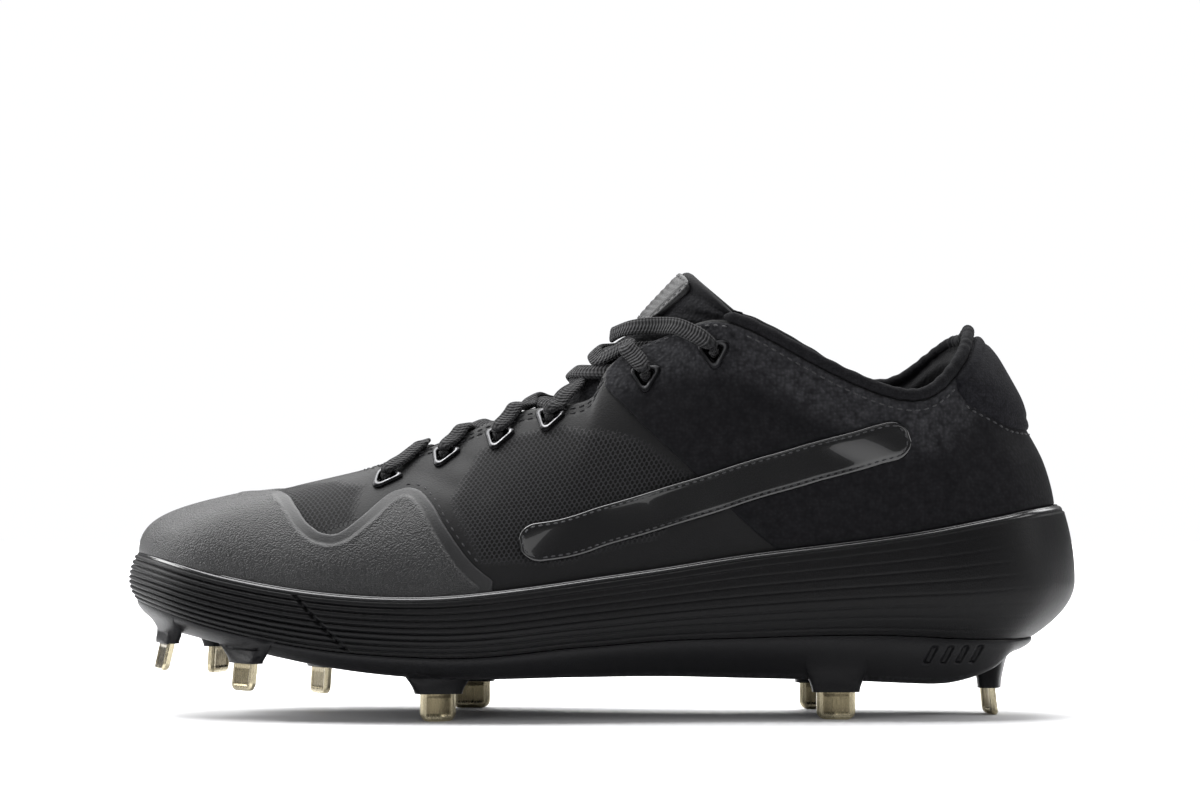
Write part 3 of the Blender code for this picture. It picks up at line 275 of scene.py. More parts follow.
# soft folds of the fabric, each a trough between two spots; a negative depth is a ridge
folds = {
    "lines": [  # place, height, place, height, half width, depth
        (3.55, 0.78, 4.25, 0.58, 3.6, 0.45),
        (4.35, 0.74, 4.75, 0.50, 3.2, 0.30),
        (8.15, 0.70, 9.10, 0.56, 4.2, 0.75),
        (8.60, 0.60, 9.70, 0.54, 3.2, -0.45),
        (9.00, 0.74, 10.00, 0.66, 4.5, 0.55),
        (9.90, 0.50, 10.90, 0.40, 4.5, 0.45),
        (10.60, 0.86, 11.40, 0.70, 4.0, 0.50),
        (12.10, 0.72, 12.90, 0.60, 4.0, 0.55),
        (12.60, 0.42, 13.90, 0.36, 5.5, 0.55),
        (13.30, 0.30, 14.60, 0.24, 5.0, -0.35),
        (26.45, 0.78, 25.75, 0.58, 3.6, 0.45),
        (21.80, 0.70, 20.90, 0.55, 4.2, 0.75),
        (21.10, 0.60, 20.10, 0.52, 3.2, -0.45),
        (20.20, 0.46, 19.00, 0.38, 4.8, 0.50),
        (17.90, 0.70, 17.10, 0.58, 4.0, 0.50),
    ],
    "lumps": 0.16,  # broad unevenness
}


def foldRelief(points):
    # sum of bell-shaped troughs: depth times exp(-(distance / half width)^2), the distance
    # measured to the straight line between the two spots
    flat = points.reshape(-1, 3)
    relief = np.zeros(len(flat))
    for place, height, placeTo, heightTo, halfWidth, depth in folds["lines"]:
        a, b = bareWall(np.array([place, placeTo]), np.array([height, heightTo]))
        share = np.clip((flat - a) @ (b - a) / ((b - a) @ (b - a)), 0, 1)
        far = lengths(flat - a - share[:, None] * (b - a))
        relief -= depth * bell(far, halfWidth)
    x, y, z = flat.T
    relief += folds["lumps"] * np.sin(x / 9.0 + 1.3) * np.sin(z / 7.5 + y / 21.0)
    return relief.reshape(points.shape[:-1])


def onWall(places, heights, offset=0.0):
    # a point at an offset from the folded wall, negative into the shoe
    here, _, _, normal = wallSlopes(places, heights)
    return here + normal * (foldRelief(here) + offset)[..., None]


def flatWays(place, height):
    # millimetres to one step of height, to one step of place square to it, and along it
    _, alongWay, upWay, _ = wallSlopes(place, height)
    upLength = lengths(upWay)
    mixed = (alongWay * upWay).sum(-1) / upLength
    return upLength, np.sqrt((alongWay * alongWay).sum(-1) - mixed**2), mixed


def besideSpot(place, height, along, up):
    # place and height of points that lie so many millimetres along and up from a spot
    upLength, flatWay, mixed = flatWays(place, height)
    placeStep = along / flatWay
    return place + placeStep, height + (up - placeStep * mixed) / upLength


def softSteps(x, low, high):
    # 0 below low and 1 above high, or the other way round: f^2 (3 - 2 f)
    f = np.clip((x - low) / (high - low), 0, 1)
    return f * f * (3 - 2 * f)


def throughRows(x, xs, ys):
    # cubic Hermite curve through the rows of a table, slopes from their neighbours
    xs, ys = np.asarray(xs, float), np.asarray(ys, float)
    slopes = np.gradient(ys, xs)
    k = np.clip(np.searchsorted(xs, x) - 1, 0, len(xs) - 2)
    step = xs[k + 1] - xs[k]
    f = np.clip((x - xs[k]) / step, 0, 1)
    return (
        (2 * f**3 - 3 * f**2 + 1) * ys[k]
        + (f**3 - 2 * f**2 + f) * step * slopes[k]
        + (3 * f**2 - 2 * f**3) * ys[k + 1]
        + (f**3 - f**2) * step * slopes[k + 1]
    )


def throughPoints(points, count):
    # the same curve through points in space, its parameter running with the chord length;
    # count points at even steps
    points = np.asarray(points, float)
    chord = lengths(np.diff(points, axis=0))
    run = np.concatenate([[0], np.cumsum(np.maximum(chord, 1e-6))])
    fine = np.linspace(0, run[-1], count)
    return np.stack([throughRows(fine, run, column) for column in points.T], axis=1)


def lineDistance(points, line):
    # shortest distance from each point to a line given by near points, taken in slices
    flat = points.reshape(-1, 3)
    out = np.empty(len(flat))
    portion = 4000
    for start in range(0, len(flat), portion):
        part = flat[start : start + portion]
        gap = ((part[:, None, :] - line[None, :, :]) ** 2).sum(-1)
        out[start : start + portion] = np.sqrt(gap.min(axis=1))
    return out.reshape(points.shape[:-1])


def insideLoop(x, y, corners):
    # even-odd rule for a closed line of corners
    inside = np.zeros(x.shape, bool)
    for (ax, ay), (bx, by) in zip(corners, corners[1:] + corners[:1]):
        crosses = (ay > y) != (by > y)
        inside ^= crosses & (x < ax + (y - ay) * (bx - ax) / (by - ay + 1e-12))
    return inside


# meshes

pieces = {}


def meshPiece(name, points, faces, materials, uv=None, masks=None, faceMaterial=None,
              crease=50, weld=False):
    # puts points in millimetres and faces into a mesh, closes doubles, turns it outwards
    mesh = bpy.data.meshes.new(name)
    faces = faces.tolist() if isinstance(faces, np.ndarray) else faces
    mesh.from_pydata((np.asarray(points) * mm).tolist(), [], faces)
    for material in materials:
        mesh.materials.append(material)
    if faceMaterial is not None:
        mesh.polygons.foreach_set("material_index", np.asarray(faceMaterial, np.int32))
    if uv is not None:
        layer = mesh.uv_layers.new(name="surface")
        layer.data.foreach_set("uv", np.asarray(uv, np.float32).reshape(-1))
    for label, values in (masks or {}).items():
        layer = mesh.attributes.new(label, "FLOAT", "POINT")
        layer.data.foreach_set("value", np.asarray(values, np.float32).ravel())
    form = bmesh.new()
    form.from_mesh(mesh)
    if weld:
        bmesh.ops.remove_doubles(form, verts=form.verts, dist=2e-6)
    if form.calc_volume(signed=True) < 0:
        bmesh.ops.reverse_faces(form, faces=form.faces)
    form.to_mesh(mesh)
    form.free()
    mesh.shade_smooth()
    mesh.set_sharp_from_angle(angle=math.radians(crease))
    made = bpy.data.objects.new(name, mesh)
    bpy.context.scene.collection.objects.link(made)
    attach(made, "root")
    pieces[name] = made
    return made


def gridCorners(rows, columns, closeRows=False, closeColumns=False):
    # corner rows and columns of every quad of a grid, not yet wrapped round
    i, j = np.meshgrid(
        np.arange(rows - (not closeRows)), np.arange(columns - (not closeColumns)), indexing="ij"
    )
    return (np.stack([i, i, i + 1, i + 1], -1), np.stack([j, j + 1, j + 1, j], -1))


def runLength(line):
    # length from the first point of a line to each
    return np.concatenate([[0], np.cumsum(lengths(np.diff(line, axis=0)))])


def tubePiece(name, grid, material, **more):
    # a closed skin round a grid whose columns go round; its first and last row are filled
    rows, columns = grid.shape[:2]
    i, j = gridCorners(rows, columns, closeColumns=True)
    faces = (i * columns + j % columns).reshape(-1, 4)
    points = grid.reshape(-1, 3)
    run = runLength(grid.mean(1))
    uv = np.stack([run[i] * mm, j / columns], -1).reshape(-1, 2)
    first, last = len(points), len(points) + 1
    points = np.concatenate([points, grid[[0, -1]].mean(1)])
    k = np.arange(columns)
    after, back = (k + 1) % columns, (rows - 1) * columns
    fans = np.concatenate([
        np.stack([k, np.full(columns, first), after], -1),
        np.stack([back + k, back + after, np.full(columns, last)], -1),
    ])
    faces = faces.tolist() + fans.tolist()
    uv = np.concatenate([uv, np.zeros((fans.size, 2))])
    return meshPiece(name, points, faces, [material], uv=uv, **more)


def shellPiece(name, outer, inner, materials, uv=None, masks=None, keep=None,
               closeColumns=False, crease=50):
    # a wall between two grids of one size. Where keep is False the wall has a hole, and the
    # border of every hole and of the grid itself is closed from face to face.
    rows, columns = outer.shape[:2]
    wrap = columns if closeColumns else columns + 1
    i, j = gridCorners(rows, columns, closeColumns=closeColumns)
    cells = np.ones(i.shape[:2], bool) if keep is None else keep
    if uv is None:
        uv = np.stack(np.meshgrid(np.arange(columns + 1), np.arange(rows)), -1) / 100
    faces, cornersUv, kinds = [], [], []
    half = rows * columns

    def index(r, c):
        return r * columns + c % wrap

    def addBorder(r, c, a, b):
        faces.append(np.stack([a, b, half + b, half + a], -1))
        cornersUv.append(np.repeat(uv[r, np.minimum(c, uv.shape[1] - 1)][:, None], 4, 1))
        kinds.append(np.zeros(len(a)))

    quads = index(i, j)[cells]
    quadUv = uv[i, np.minimum(j, uv.shape[1] - 1)][cells]
    faces += [quads, half + quads[:, ::-1]]
    cornersUv += [quadUv, quadUv[:, ::-1]]
    kinds += [np.zeros(len(quads)), np.ones(len(quads))]
    padded = np.pad(cells, ((1, 1), (0, 0)))
    r, c = np.nonzero(padded[1:] != padded[:-1])
    upSide = padded[r + 1, c]
    addBorder(r, c, index(r, np.where(upSide, c + 1, c)), index(r, np.where(upSide, c, c + 1)))
    if closeColumns:
        before, after = np.roll(cells, 1, axis=1), cells
        r, c = np.nonzero(before != after)
        rightSide = after[r, c]
    else:
        padded = np.pad(cells, ((0, 0), (1, 1)))
        r, c = np.nonzero(padded[:, 1:] != padded[:, :-1])
        rightSide = padded[r, c + 1]
    near, far = np.where(rightSide, r, r + 1), np.where(rightSide, r + 1, r)
    addBorder(r, c, index(near, c), index(far, c))
    faces, kinds = np.concatenate(faces), np.concatenate(kinds)
    points = np.concatenate([outer.reshape(-1, 3), inner.reshape(-1, 3)])
    both = {k: np.concatenate([v.ravel(), v.ravel()]) for k, v in (masks or {}).items()}
    used, faces = np.unique(faces, return_inverse=True)
    faces = faces.reshape(-1, 4)
    return meshPiece(
        name, points[used], faces, materials, uv=np.concatenate(cornersUv),
        masks={k: v[used] for k, v in both.items()},
        faceMaterial=kinds if len(materials) > 1 else None, crease=crease,
    )


def ringPiece(name, rings, materials, capLast=None, masks=None, capMask=0.0, crease=50,
              acrossCount=12, rowMaterial=None):
    # a skin over closed rings. Its first and last ring are filled by lines from each outer
    # spot to the inner one level with it; a relief function may lift the last filling. Masks
    # hold a number for each ring and spot, and one number for the fillings.
    rings = np.stack(rings)
    rows, columns = rings.shape[:2]
    i, j = gridCorners(rows, columns, closeColumns=True)
    faces = [(i * columns + j % columns).reshape(-1, 4)]
    points = [rings.reshape(-1, 3)]
    start = rows * columns
    half = columns // 2
    for ring, relief, turned in ((rings[0], None, False), (rings[-1], capLast, True)):
        lateral = ring[: half + 1]
        medial = ring[(columns - np.arange(half + 1)) % columns]
        f = np.linspace(0, 1, acrossCount + 1)[:, None, None]
        fill = lateral * (1 - f) + medial * f
        if relief is not None:
            fill = fill + relief(fill)[..., None] * np.array([0, 0, 1.0])
        i, j = gridCorners(*fill.shape[:2])
        quads = (i * fill.shape[1] + j).reshape(-1, 4) + start
        faces.append(quads if turned else quads[:, ::-1])
        points.append(fill.reshape(-1, 3))
        start += fill.shape[0] * fill.shape[1]
    faces = np.concatenate(faces)
    fills = np.full(start - rows * columns, capMask)
    masks = {label: np.concatenate([mask.ravel(), fills]) for label, mask in masks.items()}
    kinds = np.zeros(len(faces), int)
    if rowMaterial is not None:
        kinds[: (rows - 1) * columns] = np.repeat(rowMaterial, columns)
    return meshPiece(
        name, np.concatenate(points), faces, materials, masks=masks, faceMaterial=kinds,
        crease=crease, weld=True,
    )


def loopPlaces(count, low, high, factor):
    # places round the loop, closer together by a factor between two places on both sides
    fine = np.linspace(0, around, 6001)
    near, soft = fromToe(fine), 0.25
    between = softSteps(near, low - soft, low) * softSteps(near, high + soft, high)
    weight = 1 + (factor - 1) * between
    run = np.concatenate([[0], np.cumsum((weight[1:] + weight[:-1]) / 2)])
    return np.interp(np.arange(count) / count * run[-1], run, fine)


def stitchPiece(name, paths, length, pitch, width, proud):
    # sewn dashes: one small pill, its section an ellipse that closes towards both ends,
    # copied along each path. A path is its points and the normals there.
    rings, sides = 5, 6
    f = np.linspace(-1, 1, rings)
    swell = np.sqrt(np.clip(1 - f**4, 0, 1)) * 0.96 + 0.04
    angle = (np.arange(sides) + 0.5) * 2 * math.pi / sides
    template = np.stack(
        [
            np.repeat(f[:, None] * length / 2, sides, 1),
            swell[:, None] * np.cos(angle) * width / 2,
            swell[:, None] * np.sin(angle) * proud,
        ],
        -1,
    ).reshape(-1, 3)
    i, j = gridCorners(rings, sides, closeColumns=True)
    quads = (i * sides + j % sides).reshape(-1, 4)
    ends = np.array([[0, 1, 2, 3], [0, 3, 4, 5], [3, 2, 1, 0], [5, 4, 3, 0]])
    ends[2:] += (rings - 1) * sides
    quads = np.concatenate([quads, ends[:, ::-1]])
    allPoints, allFaces, start = [], [], 0
    for line, normals in paths:
        run = runLength(line)
        places = np.arange(pitch / 2, run[-1] - pitch / 2, pitch)
        at, ahead, up = (
            np.stack([np.interp(where, run, c) for c in values.T], -1)
            for where, values in ((places, line), (places + 0.4, line), (places, normals))
        )
        tangent = unit(ahead - at)
        side = unit(np.cross(up, tangent))
        basis = np.stack([tangent, side, np.cross(tangent, side)], 1)
        copies = at[:, None, :] + np.einsum("pk,nkc->npc", template, basis)
        allPoints.append(copies.reshape(-1, 3))
        shift = start + np.arange(len(at)) * len(template)
        allFaces.append((shift[:, None, None] + quads[None]).reshape(-1, 4))
        start += len(at) * len(template)
    points, faces = np.concatenate(allPoints), np.concatenate(allFaces)
    return meshPiece(name, points, faces, [look["thread"]])


# shader groups


def addNode(tree, kind, inputs=None, **settings):
    node = tree.nodes.new(kind)
    for key, value in settings.items():
        setattr(node, key, value)
    for key, value in (inputs or {}).items():
        if isinstance(value, bpy.types.NodeSocket):
            tree.links.new(value, node.inputs[key])
        else:
            node.inputs[key].default_value = value
    return node


def calc(tree, operation, *values):
    inputs = dict(enumerate(values))
    return addNode(tree, "ShaderNodeMath", inputs, operation=operation).outputs[0]


def vectorCalc(tree, operation, *values):
    node = addNode(tree, "ShaderNodeVectorMath", dict(enumerate(values)), operation=operation)
    return node.outputs["Value" if operation in ("LENGTH", "DOT_PRODUCT") else "Vector"]


def scaledTo(tree, point, size):
    # the point in units of a size
    inputs = {0: point, "Scale": calc(tree, "DIVIDE", 1.0, size)}
    return addNode(tree, "ShaderNodeVectorMath", inputs, operation="SCALE").outputs[0]


def remap(tree, value, low, high, **settings):
    # 0 at the low value and 1 at the high one
    inputs = {"Value": value, "From Min": low, "From Max": high}
    return addNode(tree, "ShaderNodeMapRange", inputs, **settings).outputs[0]


def noiseNode(tree, point, scale, detail):
    inputs = {"Vector": point, "Scale": scale, "Detail": detail}
    return addNode(tree, "ShaderNodeTexNoise", inputs).outputs["Fac"]


def newGroup(name, inputs, outputs):
    tree = bpy.data.node_groups.new(name, "ShaderNodeTree")
    for label, kind, value in inputs:
        socket = tree.interface.new_socket(label, in_out="INPUT", socket_type=kind)
        if value is not None:
            socket.default_value = value
    for label, kind in outputs:
        tree.interface.new_socket(label, in_out="OUTPUT", socket_type=kind)
    return tree, tree.nodes.new("NodeGroupInput").outputs, tree.nodes.new("NodeGroupOutput").inputs


number, vector = "NodeSocketFloat", "NodeSocketVector"


def makeMeshHoles():
    # round holes on two interleaved lattices: the nearer centre's distance, stepped softly
    tree, given, out = newGroup(
        "openMesh",
        [("Vector", vector, None), ("Pitch", number, 0.0015), ("Hole", number, 0.3)],
        [("Hole", number), ("Height", number)],
    )
    scaled = scaledTo(tree, given["Vector"], given["Pitch"])
    packed = vectorCalc(tree, "MULTIPLY", scaled, (1.0, 0.62, 0.0))
    near = []
    for shift in ((0.0, 0.0, 0.0), (0.5, 0.5, 0.0)):
        cell = vectorCalc(tree, "FRACTION", vectorCalc(tree, "ADD", packed, shift))
        centred = vectorCalc(tree, "SUBTRACT", cell, (0.5, 0.5, 0.0))
        stretched = vectorCalc(tree, "MULTIPLY", centred, (1.0, 1.25, 0.0))
        near.append(vectorCalc(tree, "LENGTH", stretched))
    gap = calc(tree, "MINIMUM", *near)
    step = addNode(
        tree, "ShaderNodeMapRange",
        {"Value": gap, "From Min": calc(tree, "SUBTRACT", given["Hole"], 0.07),
         "From Max": given["Hole"], "To Min": 1.0, "To Max": 0.0},
        interpolation_type="SMOOTHSTEP",
    )
    tree.links.new(step.outputs[0], out["Hole"])
    tree.links.new(calc(tree, "SUBTRACT", 1.0, step.outputs[0]), out["Height"])
    return tree


def makeFineKnit():
    # loops of yarn: soft cells, 1 - distance, with flecks where a slow noise is high
    tree, given, out = newGroup(
        "fineKnit",
        [("Vector", vector, None), ("Pitch", number, 0.0009), ("Fleck", number, 0.5)],
        [("Height", number), ("Fleck", number)],
    )
    scaled = scaledTo(tree, given["Vector"], given["Pitch"])
    cells = addNode(
        tree, "ShaderNodeTexVoronoi", {"Vector": scaled, "Scale": 1.0, "Randomness": 0.75},
        feature="SMOOTH_F1",
    )
    height = calc(tree, "SUBTRACT", 1.0, cells.outputs["Distance"])
    tree.links.new(height, out["Height"])
    clouded = calc(tree, "MULTIPLY", height, noiseNode(tree, scaled, 0.35, 3.0))
    tree.links.new(calc(tree, "MULTIPLY", clouded, given["Fleck"]), out["Fleck"])
    return tree


def makePebbleGrain():
    # moulded grain: fine noise over small rounded cells
    tree, given, out = newGroup(
        "pebbleGrain",
        [("Vector", vector, None), ("Size", number, 0.0007)],
        [("Height", number), ("Speck", number)],
    )
    scaled = scaledTo(tree, given["Vector"], given["Size"])
    cells = addNode(tree, "ShaderNodeTexVoronoi", {"Vector": scaled, "Scale": 1.0}, feature="F1")
    noise = noiseNode(tree, scaled, 1.6, 2.0)
    rounded = calc(tree, "SUBTRACT", 1.0, cells.outputs["Distance"])
    tree.links.new(calc(tree, "MULTIPLY_ADD", noise, 0.8, rounded), out["Height"])
    tree.links.new(remap(tree, noise, 0.55, 0.75), out["Speck"])
    return tree


def makeBraid():
    # flat braid: slanting yarns that turn at the middle, from the strip's own length and width
    tree, given, out = newGroup(
        "flatBraid",
        [("Vector", vector, None), ("Pitch", number, 0.0016), ("Slant", number, 0.0022)],
        [("Height", number), ("GrooveShade", number)],
    )
    parts = addNode(tree, "ShaderNodeSeparateXYZ", {0: given["Vector"]})
    fold = calc(tree, "PINGPONG", parts.outputs["Y"], 0.25)
    lean = calc(tree, "MULTIPLY", fold, calc(tree, "MULTIPLY", given["Slant"], 4.0))
    row = calc(tree, "DIVIDE", calc(tree, "ADD", parts.outputs["X"], lean), given["Pitch"])
    across = calc(tree, "MULTIPLY", parts.outputs["Y"], 12.0)
    rowWave, acrossWave = (
        calc(tree, "SINE", calc(tree, "MULTIPLY", turns, 2 * math.pi)) for turns in (row, across)
    )
    rows = calc(tree, "MULTIPLY_ADD", rowWave, 0.5, 0.5)
    height = calc(tree, "MULTIPLY_ADD", acrossWave, 0.25, rows)
    tree.links.new(height, out["Height"])
    # 1 where the braid is low, where the lace paints its shade
    tree.links.new(remap(tree, height, 0.35, 0.0), out["GrooveShade"])
    return tree


def makeSoftWear():
    # dust and handling, and on the sole's rim bead a painted highlight: a slow noise, stronger
    # where the mask of edges is high
    tree, given, out = newGroup(
        "softWearAndHighlight",
        [("Vector", vector, None), ("Edge", number, 0.0), ("Scale", number, 40.0)],
        [("WearAndHighlight", number), ("Cloud", number)],
    )
    slow = noiseNode(tree, given["Vector"], given["Scale"], 4.0)
    quick = noiseNode(tree, given["Vector"], 900.0, 2.0)
    tree.links.new(slow, out["Cloud"])
    rubbed = calc(tree, "MULTIPLY", given["Edge"], remap(tree, quick, 0.35, 0.6))
    tree.links.new(calc(tree, "MULTIPLY", rubbed, slow), out["WearAndHighlight"])
    return tree


groups = {
    "mesh": makeMeshHoles(),
    "knit": makeFineKnit(),
    "grain": makePebbleGrain(),
    "braid": makeBraid(),
    "wear": makeSoftWear(),
}


# materials


def newMaterial(name, colour, roughness, **sockets):
    material = bpy.data.materials.new(name)
    material.use_nodes = True
    shader = material.node_tree.nodes["Principled BSDF"]
    shader.inputs["Base Color"].default_value = (*colour, 1)
    shader.inputs["Roughness"].default_value = roughness
    for label, value in sockets.items():
        shader.inputs[label.replace("_", " ")].default_value = value
    return material, material.node_tree, shader


def useGroup(tree, name, **inputs):
    node = tree.nodes.new("ShaderNodeGroup")
    node.node_tree = groups[name]
    for label, value in inputs.items():
        if isinstance(value, bpy.types.NodeSocket):
            tree.links.new(value, node.inputs[label])
        else:
            node.inputs[label].default_value = value
    return node.outputs


def objectPoint(tree):
    return tree.nodes.new("ShaderNodeTexCoord").outputs["Object"]


def ownUv(tree):
    return tree.nodes.new("ShaderNodeTexCoord").outputs["UV"]


def maskOf(tree, name):
    return addNode(tree, "ShaderNodeAttribute", attribute_name=name).outputs["Fac"]


def mixColour(tree, factor, first, second):
    node = addNode(tree, "ShaderNodeMix", data_type="RGBA")
    for index, value in ((0, factor), (6, first), (7, second)):
        if isinstance(value, bpy.types.NodeSocket):
            tree.links.new(value, node.inputs[index])
        elif index:
            node.inputs[index].default_value = (*value, 1)
        else:
            node.inputs[index].default_value = value
    return node.outputs[2]


def mixNumber(tree, factor, low, high):
    inputs = {"Value": factor, "To Min": low, "To Max": high}
    return addNode(tree, "ShaderNodeMapRange", inputs).outputs[0]


def addBump(tree, shader, height, distance, strength=1.0):
    inputs = {"Height": height, "Distance": distance, "Strength": strength}
    node = addNode(tree, "ShaderNodeBump", inputs)
    tree.links.new(node.outputs[0], shader.inputs["Normal"])


def paint(tree, shader, colour, roughness=None):
    tree.links.new(colour, shader.inputs["Base Color"])
    if roughness is not None:
        tree.links.new(roughness, shader.inputs["Roughness"])


def times(colour, factor):
    return tuple(part * factor for part in colour)


textileLook = {
    "yarn": (0.012, 0.012, 0.013),
    "fleck": (0.055, 0.055, 0.06),
    # the lining seen through a hole, darkened further as painted shade
    "hole": (0.0008, 0.0008, 0.0009),
    "film": (0.0060, 0.0060, 0.0065),
    "pitch": 0.0015,  # metres from hole to hole
}


def meshTextileMaterial():
    # open mesh in two windows, its holes painted dark: the lining behind them with painted shade in
    # them; smooth film over the rest
    material, tree, shader = newMaterial(
        "meshTextile", textileLook["yarn"], 0.62, Sheen_Weight=0.03, Sheen_Roughness=0.5,
        Specular_IOR_Level=0.16,
    )
    point, cloth = objectPoint(tree), ownUv(tree)
    window = maskOf(tree, "meshWindow")
    holes = useGroup(tree, "mesh", Vector=cloth, Pitch=textileLook["pitch"], Hole=0.37)
    knit = useGroup(tree, "knit", Vector=point, Pitch=0.0006, Fleck=0.6)
    wear = useGroup(tree, "wear", Vector=point, Scale=30.0)
    hole = calc(tree, "MULTIPLY", holes["Hole"], window)
    yarn = mixColour(tree, knit["Fleck"], textileLook["yarn"], textileLook["fleck"])
    ground = mixColour(tree, window, textileLook["film"], yarn)
    uneven = mixNumber(tree, wear["Cloud"], -0.05, 0.07)
    # the holes take the hole colour: dark lining with painted shade
    paint(tree, shader, mixColour(tree, hole, ground, textileLook["hole"]),
          calc(tree, "ADD", mixNumber(tree, window, 0.50, 0.72), uneven))
    yarns = calc(tree, "MULTIPLY", knit["Height"], 0.12)
    pierced = calc(tree, "MULTIPLY", holes["Height"], window)
    addBump(tree, shader, calc(tree, "ADD", pierced, yarns), 0.0006)
    return material


def knitMaterial(name, colour, fleckColour, pitch, depth, sheen):
    # soft knit with flecks of lighter yarn; a mask of smooth neoprene where the piece has one
    rough = 0.82
    material, tree, shader = newMaterial(
        name, colour, rough, Sheen_Weight=sheen, Sheen_Roughness=0.45, Specular_IOR_Level=0.05
    )
    point = objectPoint(tree)
    knit = useGroup(tree, "knit", Vector=point, Pitch=pitch, Fleck=1.0)
    wear = useGroup(tree, "wear", Vector=point, Scale=24.0)
    smooth = maskOf(tree, "smooth")
    amount = calc(tree, "SUBTRACT", 1.0, calc(tree, "MULTIPLY", smooth, 0.75))
    fleck = calc(tree, "MULTIPLY", knit["Fleck"], amount)
    clouded = mixColour(tree, wear["Cloud"], colour, times(colour, 1.25))
    paint(tree, shader, mixColour(tree, fleck, clouded, fleckColour),
          mixNumber(tree, smooth, rough, rough - 0.16))
    addBump(tree, shader, calc(tree, "MULTIPLY", knit["Height"], amount), depth)
    return material


def rubberMaterial(name, colour, roughness, grain, depth, specular):
    # moulded rubber with a fine grain, smooth along its band, lighter in patches where its edge
    # mask is high: rubbed wear at a panel's border, and a painted highlight along the sole's rim
    # bead
    material, tree, shader = newMaterial(name, colour, roughness, Specular_IOR_Level=specular)
    point = objectPoint(tree)
    bump = useGroup(tree, "grain", Vector=point, Size=grain)
    edge = maskOf(tree, "edge")
    wear = useGroup(tree, "wear", Vector=point, Scale=26.0, Edge=edge)
    smooth = maskOf(tree, "smooth")
    speck = mixColour(tree, bump["Speck"], colour, times(colour, 1.9))
    # lighter patches: rubbed wear, and along the rim bead a painted highlight
    paint(tree, shader, mixColour(tree, wear["WearAndHighlight"], speck, times(colour, 3.2)),
          mixNumber(tree, wear["Cloud"], roughness - 0.07, roughness + 0.08))
    grained = calc(tree, "SUBTRACT", 1.0, calc(tree, "MULTIPLY", smooth, 0.8))
    addBump(tree, shader, calc(tree, "MULTIPLY", bump["Height"], grained), depth)
    return material


def patentMaterial():
    # lacquer: black under a clear coat, with a faint ripple
    black = (0.0015, 0.0015, 0.0018)
    material, tree, shader = newMaterial(
        "patentBand", black, 0.2, Coat_Weight=0.8, Coat_Roughness=0.03, Specular_IOR_Level=0.3
    )
    wear = useGroup(tree, "wear", Vector=objectPoint(tree), Scale=60.0, Edge=maskOf(tree, "edge"))
    paint(tree, shader, mixColour(tree, wear["WearAndHighlight"], black, (0.012, 0.012, 0.013)),
          mixNumber(tree, wear["Cloud"], 0.12, 0.24))
    addBump(tree, shader, wear["Cloud"], 0.0004, 0.15)
    return material


def laceMaterial():
    # braid of matt yarns, with painted shade in its grooves
    material, tree, shader = newMaterial(
        "laceCord", (0.008, 0.008, 0.009), 0.8, Sheen_Weight=0.06, Sheen_Roughness=0.4,
        Specular_IOR_Level=0.2,
    )
    braid = useGroup(tree, "braid", Vector=ownUv(tree), Pitch=0.0013, Slant=0.0016)
    knit = useGroup(tree, "knit", Vector=objectPoint(tree), Pitch=0.00035, Fleck=0.8)
    yarn = mixColour(tree, knit["Fleck"], (0.0075, 0.0075, 0.0085), (0.026, 0.026, 0.028))
    # painted shade: the low parts of the braid take a near-black colour
    paint(tree, shader, mixColour(tree, braid["GrooveShade"], yarn, (0.0015, 0.0015, 0.0018)),
          mixNumber(tree, braid["Height"], 0.88, 0.72))
    addBump(tree, shader, braid["Height"], 0.00035)
    return material


def metalMaterial(name, colour, roughness, edgeWearAndHighlightColour):
    # satin metal: brushed one way, brighter where its edge mask is high: worn edges on the spikes,
    # and a painted highlight along the eyelets' crests
    material, tree, shader = newMaterial(name, colour, roughness, Metallic=1.0)
    point = objectPoint(tree)
    stretched = addNode(tree, "ShaderNodeMapping", {"Vector": point, "Scale": (1.0, 1.0, 0.06)})
    lines = noiseNode(tree, stretched.outputs[0], 4000.0, 2.0)
    edge = maskOf(tree, "edge")
    wear = useGroup(tree, "wear", Vector=point, Scale=220.0, Edge=edge)
    dulled = mixColour(tree, wear["Cloud"], colour, times(colour, 0.72))
    # lighter towards the edge colour: wear on the spikes, a painted highlight on the eyelets
    paint(tree, shader, mixColour(tree, calc(tree, "MULTIPLY", edge, 0.8), dulled, edgeWearAndHighlightColour),
          mixNumber(tree, lines, roughness - 0.07, roughness + 0.12))
    addBump(tree, shader, lines, 0.00004)
    return material


def plateMaterial():
    # hard moulded plastic: fine texture, scuffed on its low spots
    material, tree, shader = newMaterial(
        "platePlastic", (0.003, 0.003, 0.0036), 0.36, Specular_IOR_Level=0.16
    )
    point = objectPoint(tree)
    grain = useGroup(tree, "grain", Vector=point, Size=0.0005)
    wear = useGroup(tree, "wear", Vector=point, Scale=35.0, Edge=maskOf(tree, "edge"))
    worn = mixColour(tree, wear["WearAndHighlight"], (0.004, 0.004, 0.0048), (0.022, 0.022, 0.024))
    paint(tree, shader, worn, mixNumber(tree, wear["Cloud"], 0.30, 0.48))
    addBump(tree, shader, grain["Height"], 0.00006)
    return material


def threadMaterial():
    material, tree, shader = newMaterial(
        "blackThread", (0.016, 0.016, 0.018), 0.6, Sheen_Weight=0.06, Specular_IOR_Level=0.3
    )
    knit = useGroup(tree, "knit", Vector=objectPoint(tree), Pitch=0.00025, Fleck=1.0)
    paint(tree, shader, mixColour(tree, knit["Fleck"], (0.012, 0.012, 0.013), (0.045, 0.045, 0.05)))
    addBump(tree, shader, knit["Height"], 0.0001)
    return material


def floorMaterial():
    material, tree, shader = newMaterial(
        "paleFloor", (0.93, 0.93, 0.94), 0.55, Specular_IOR_Level=0.25
    )
    wear = useGroup(tree, "wear", Vector=objectPoint(tree), Scale=1.2)
    paint(tree, shader, mixColour(tree, wear["Cloud"], (0.925, 0.925, 0.935), (0.945, 0.945, 0.95)))
    return material


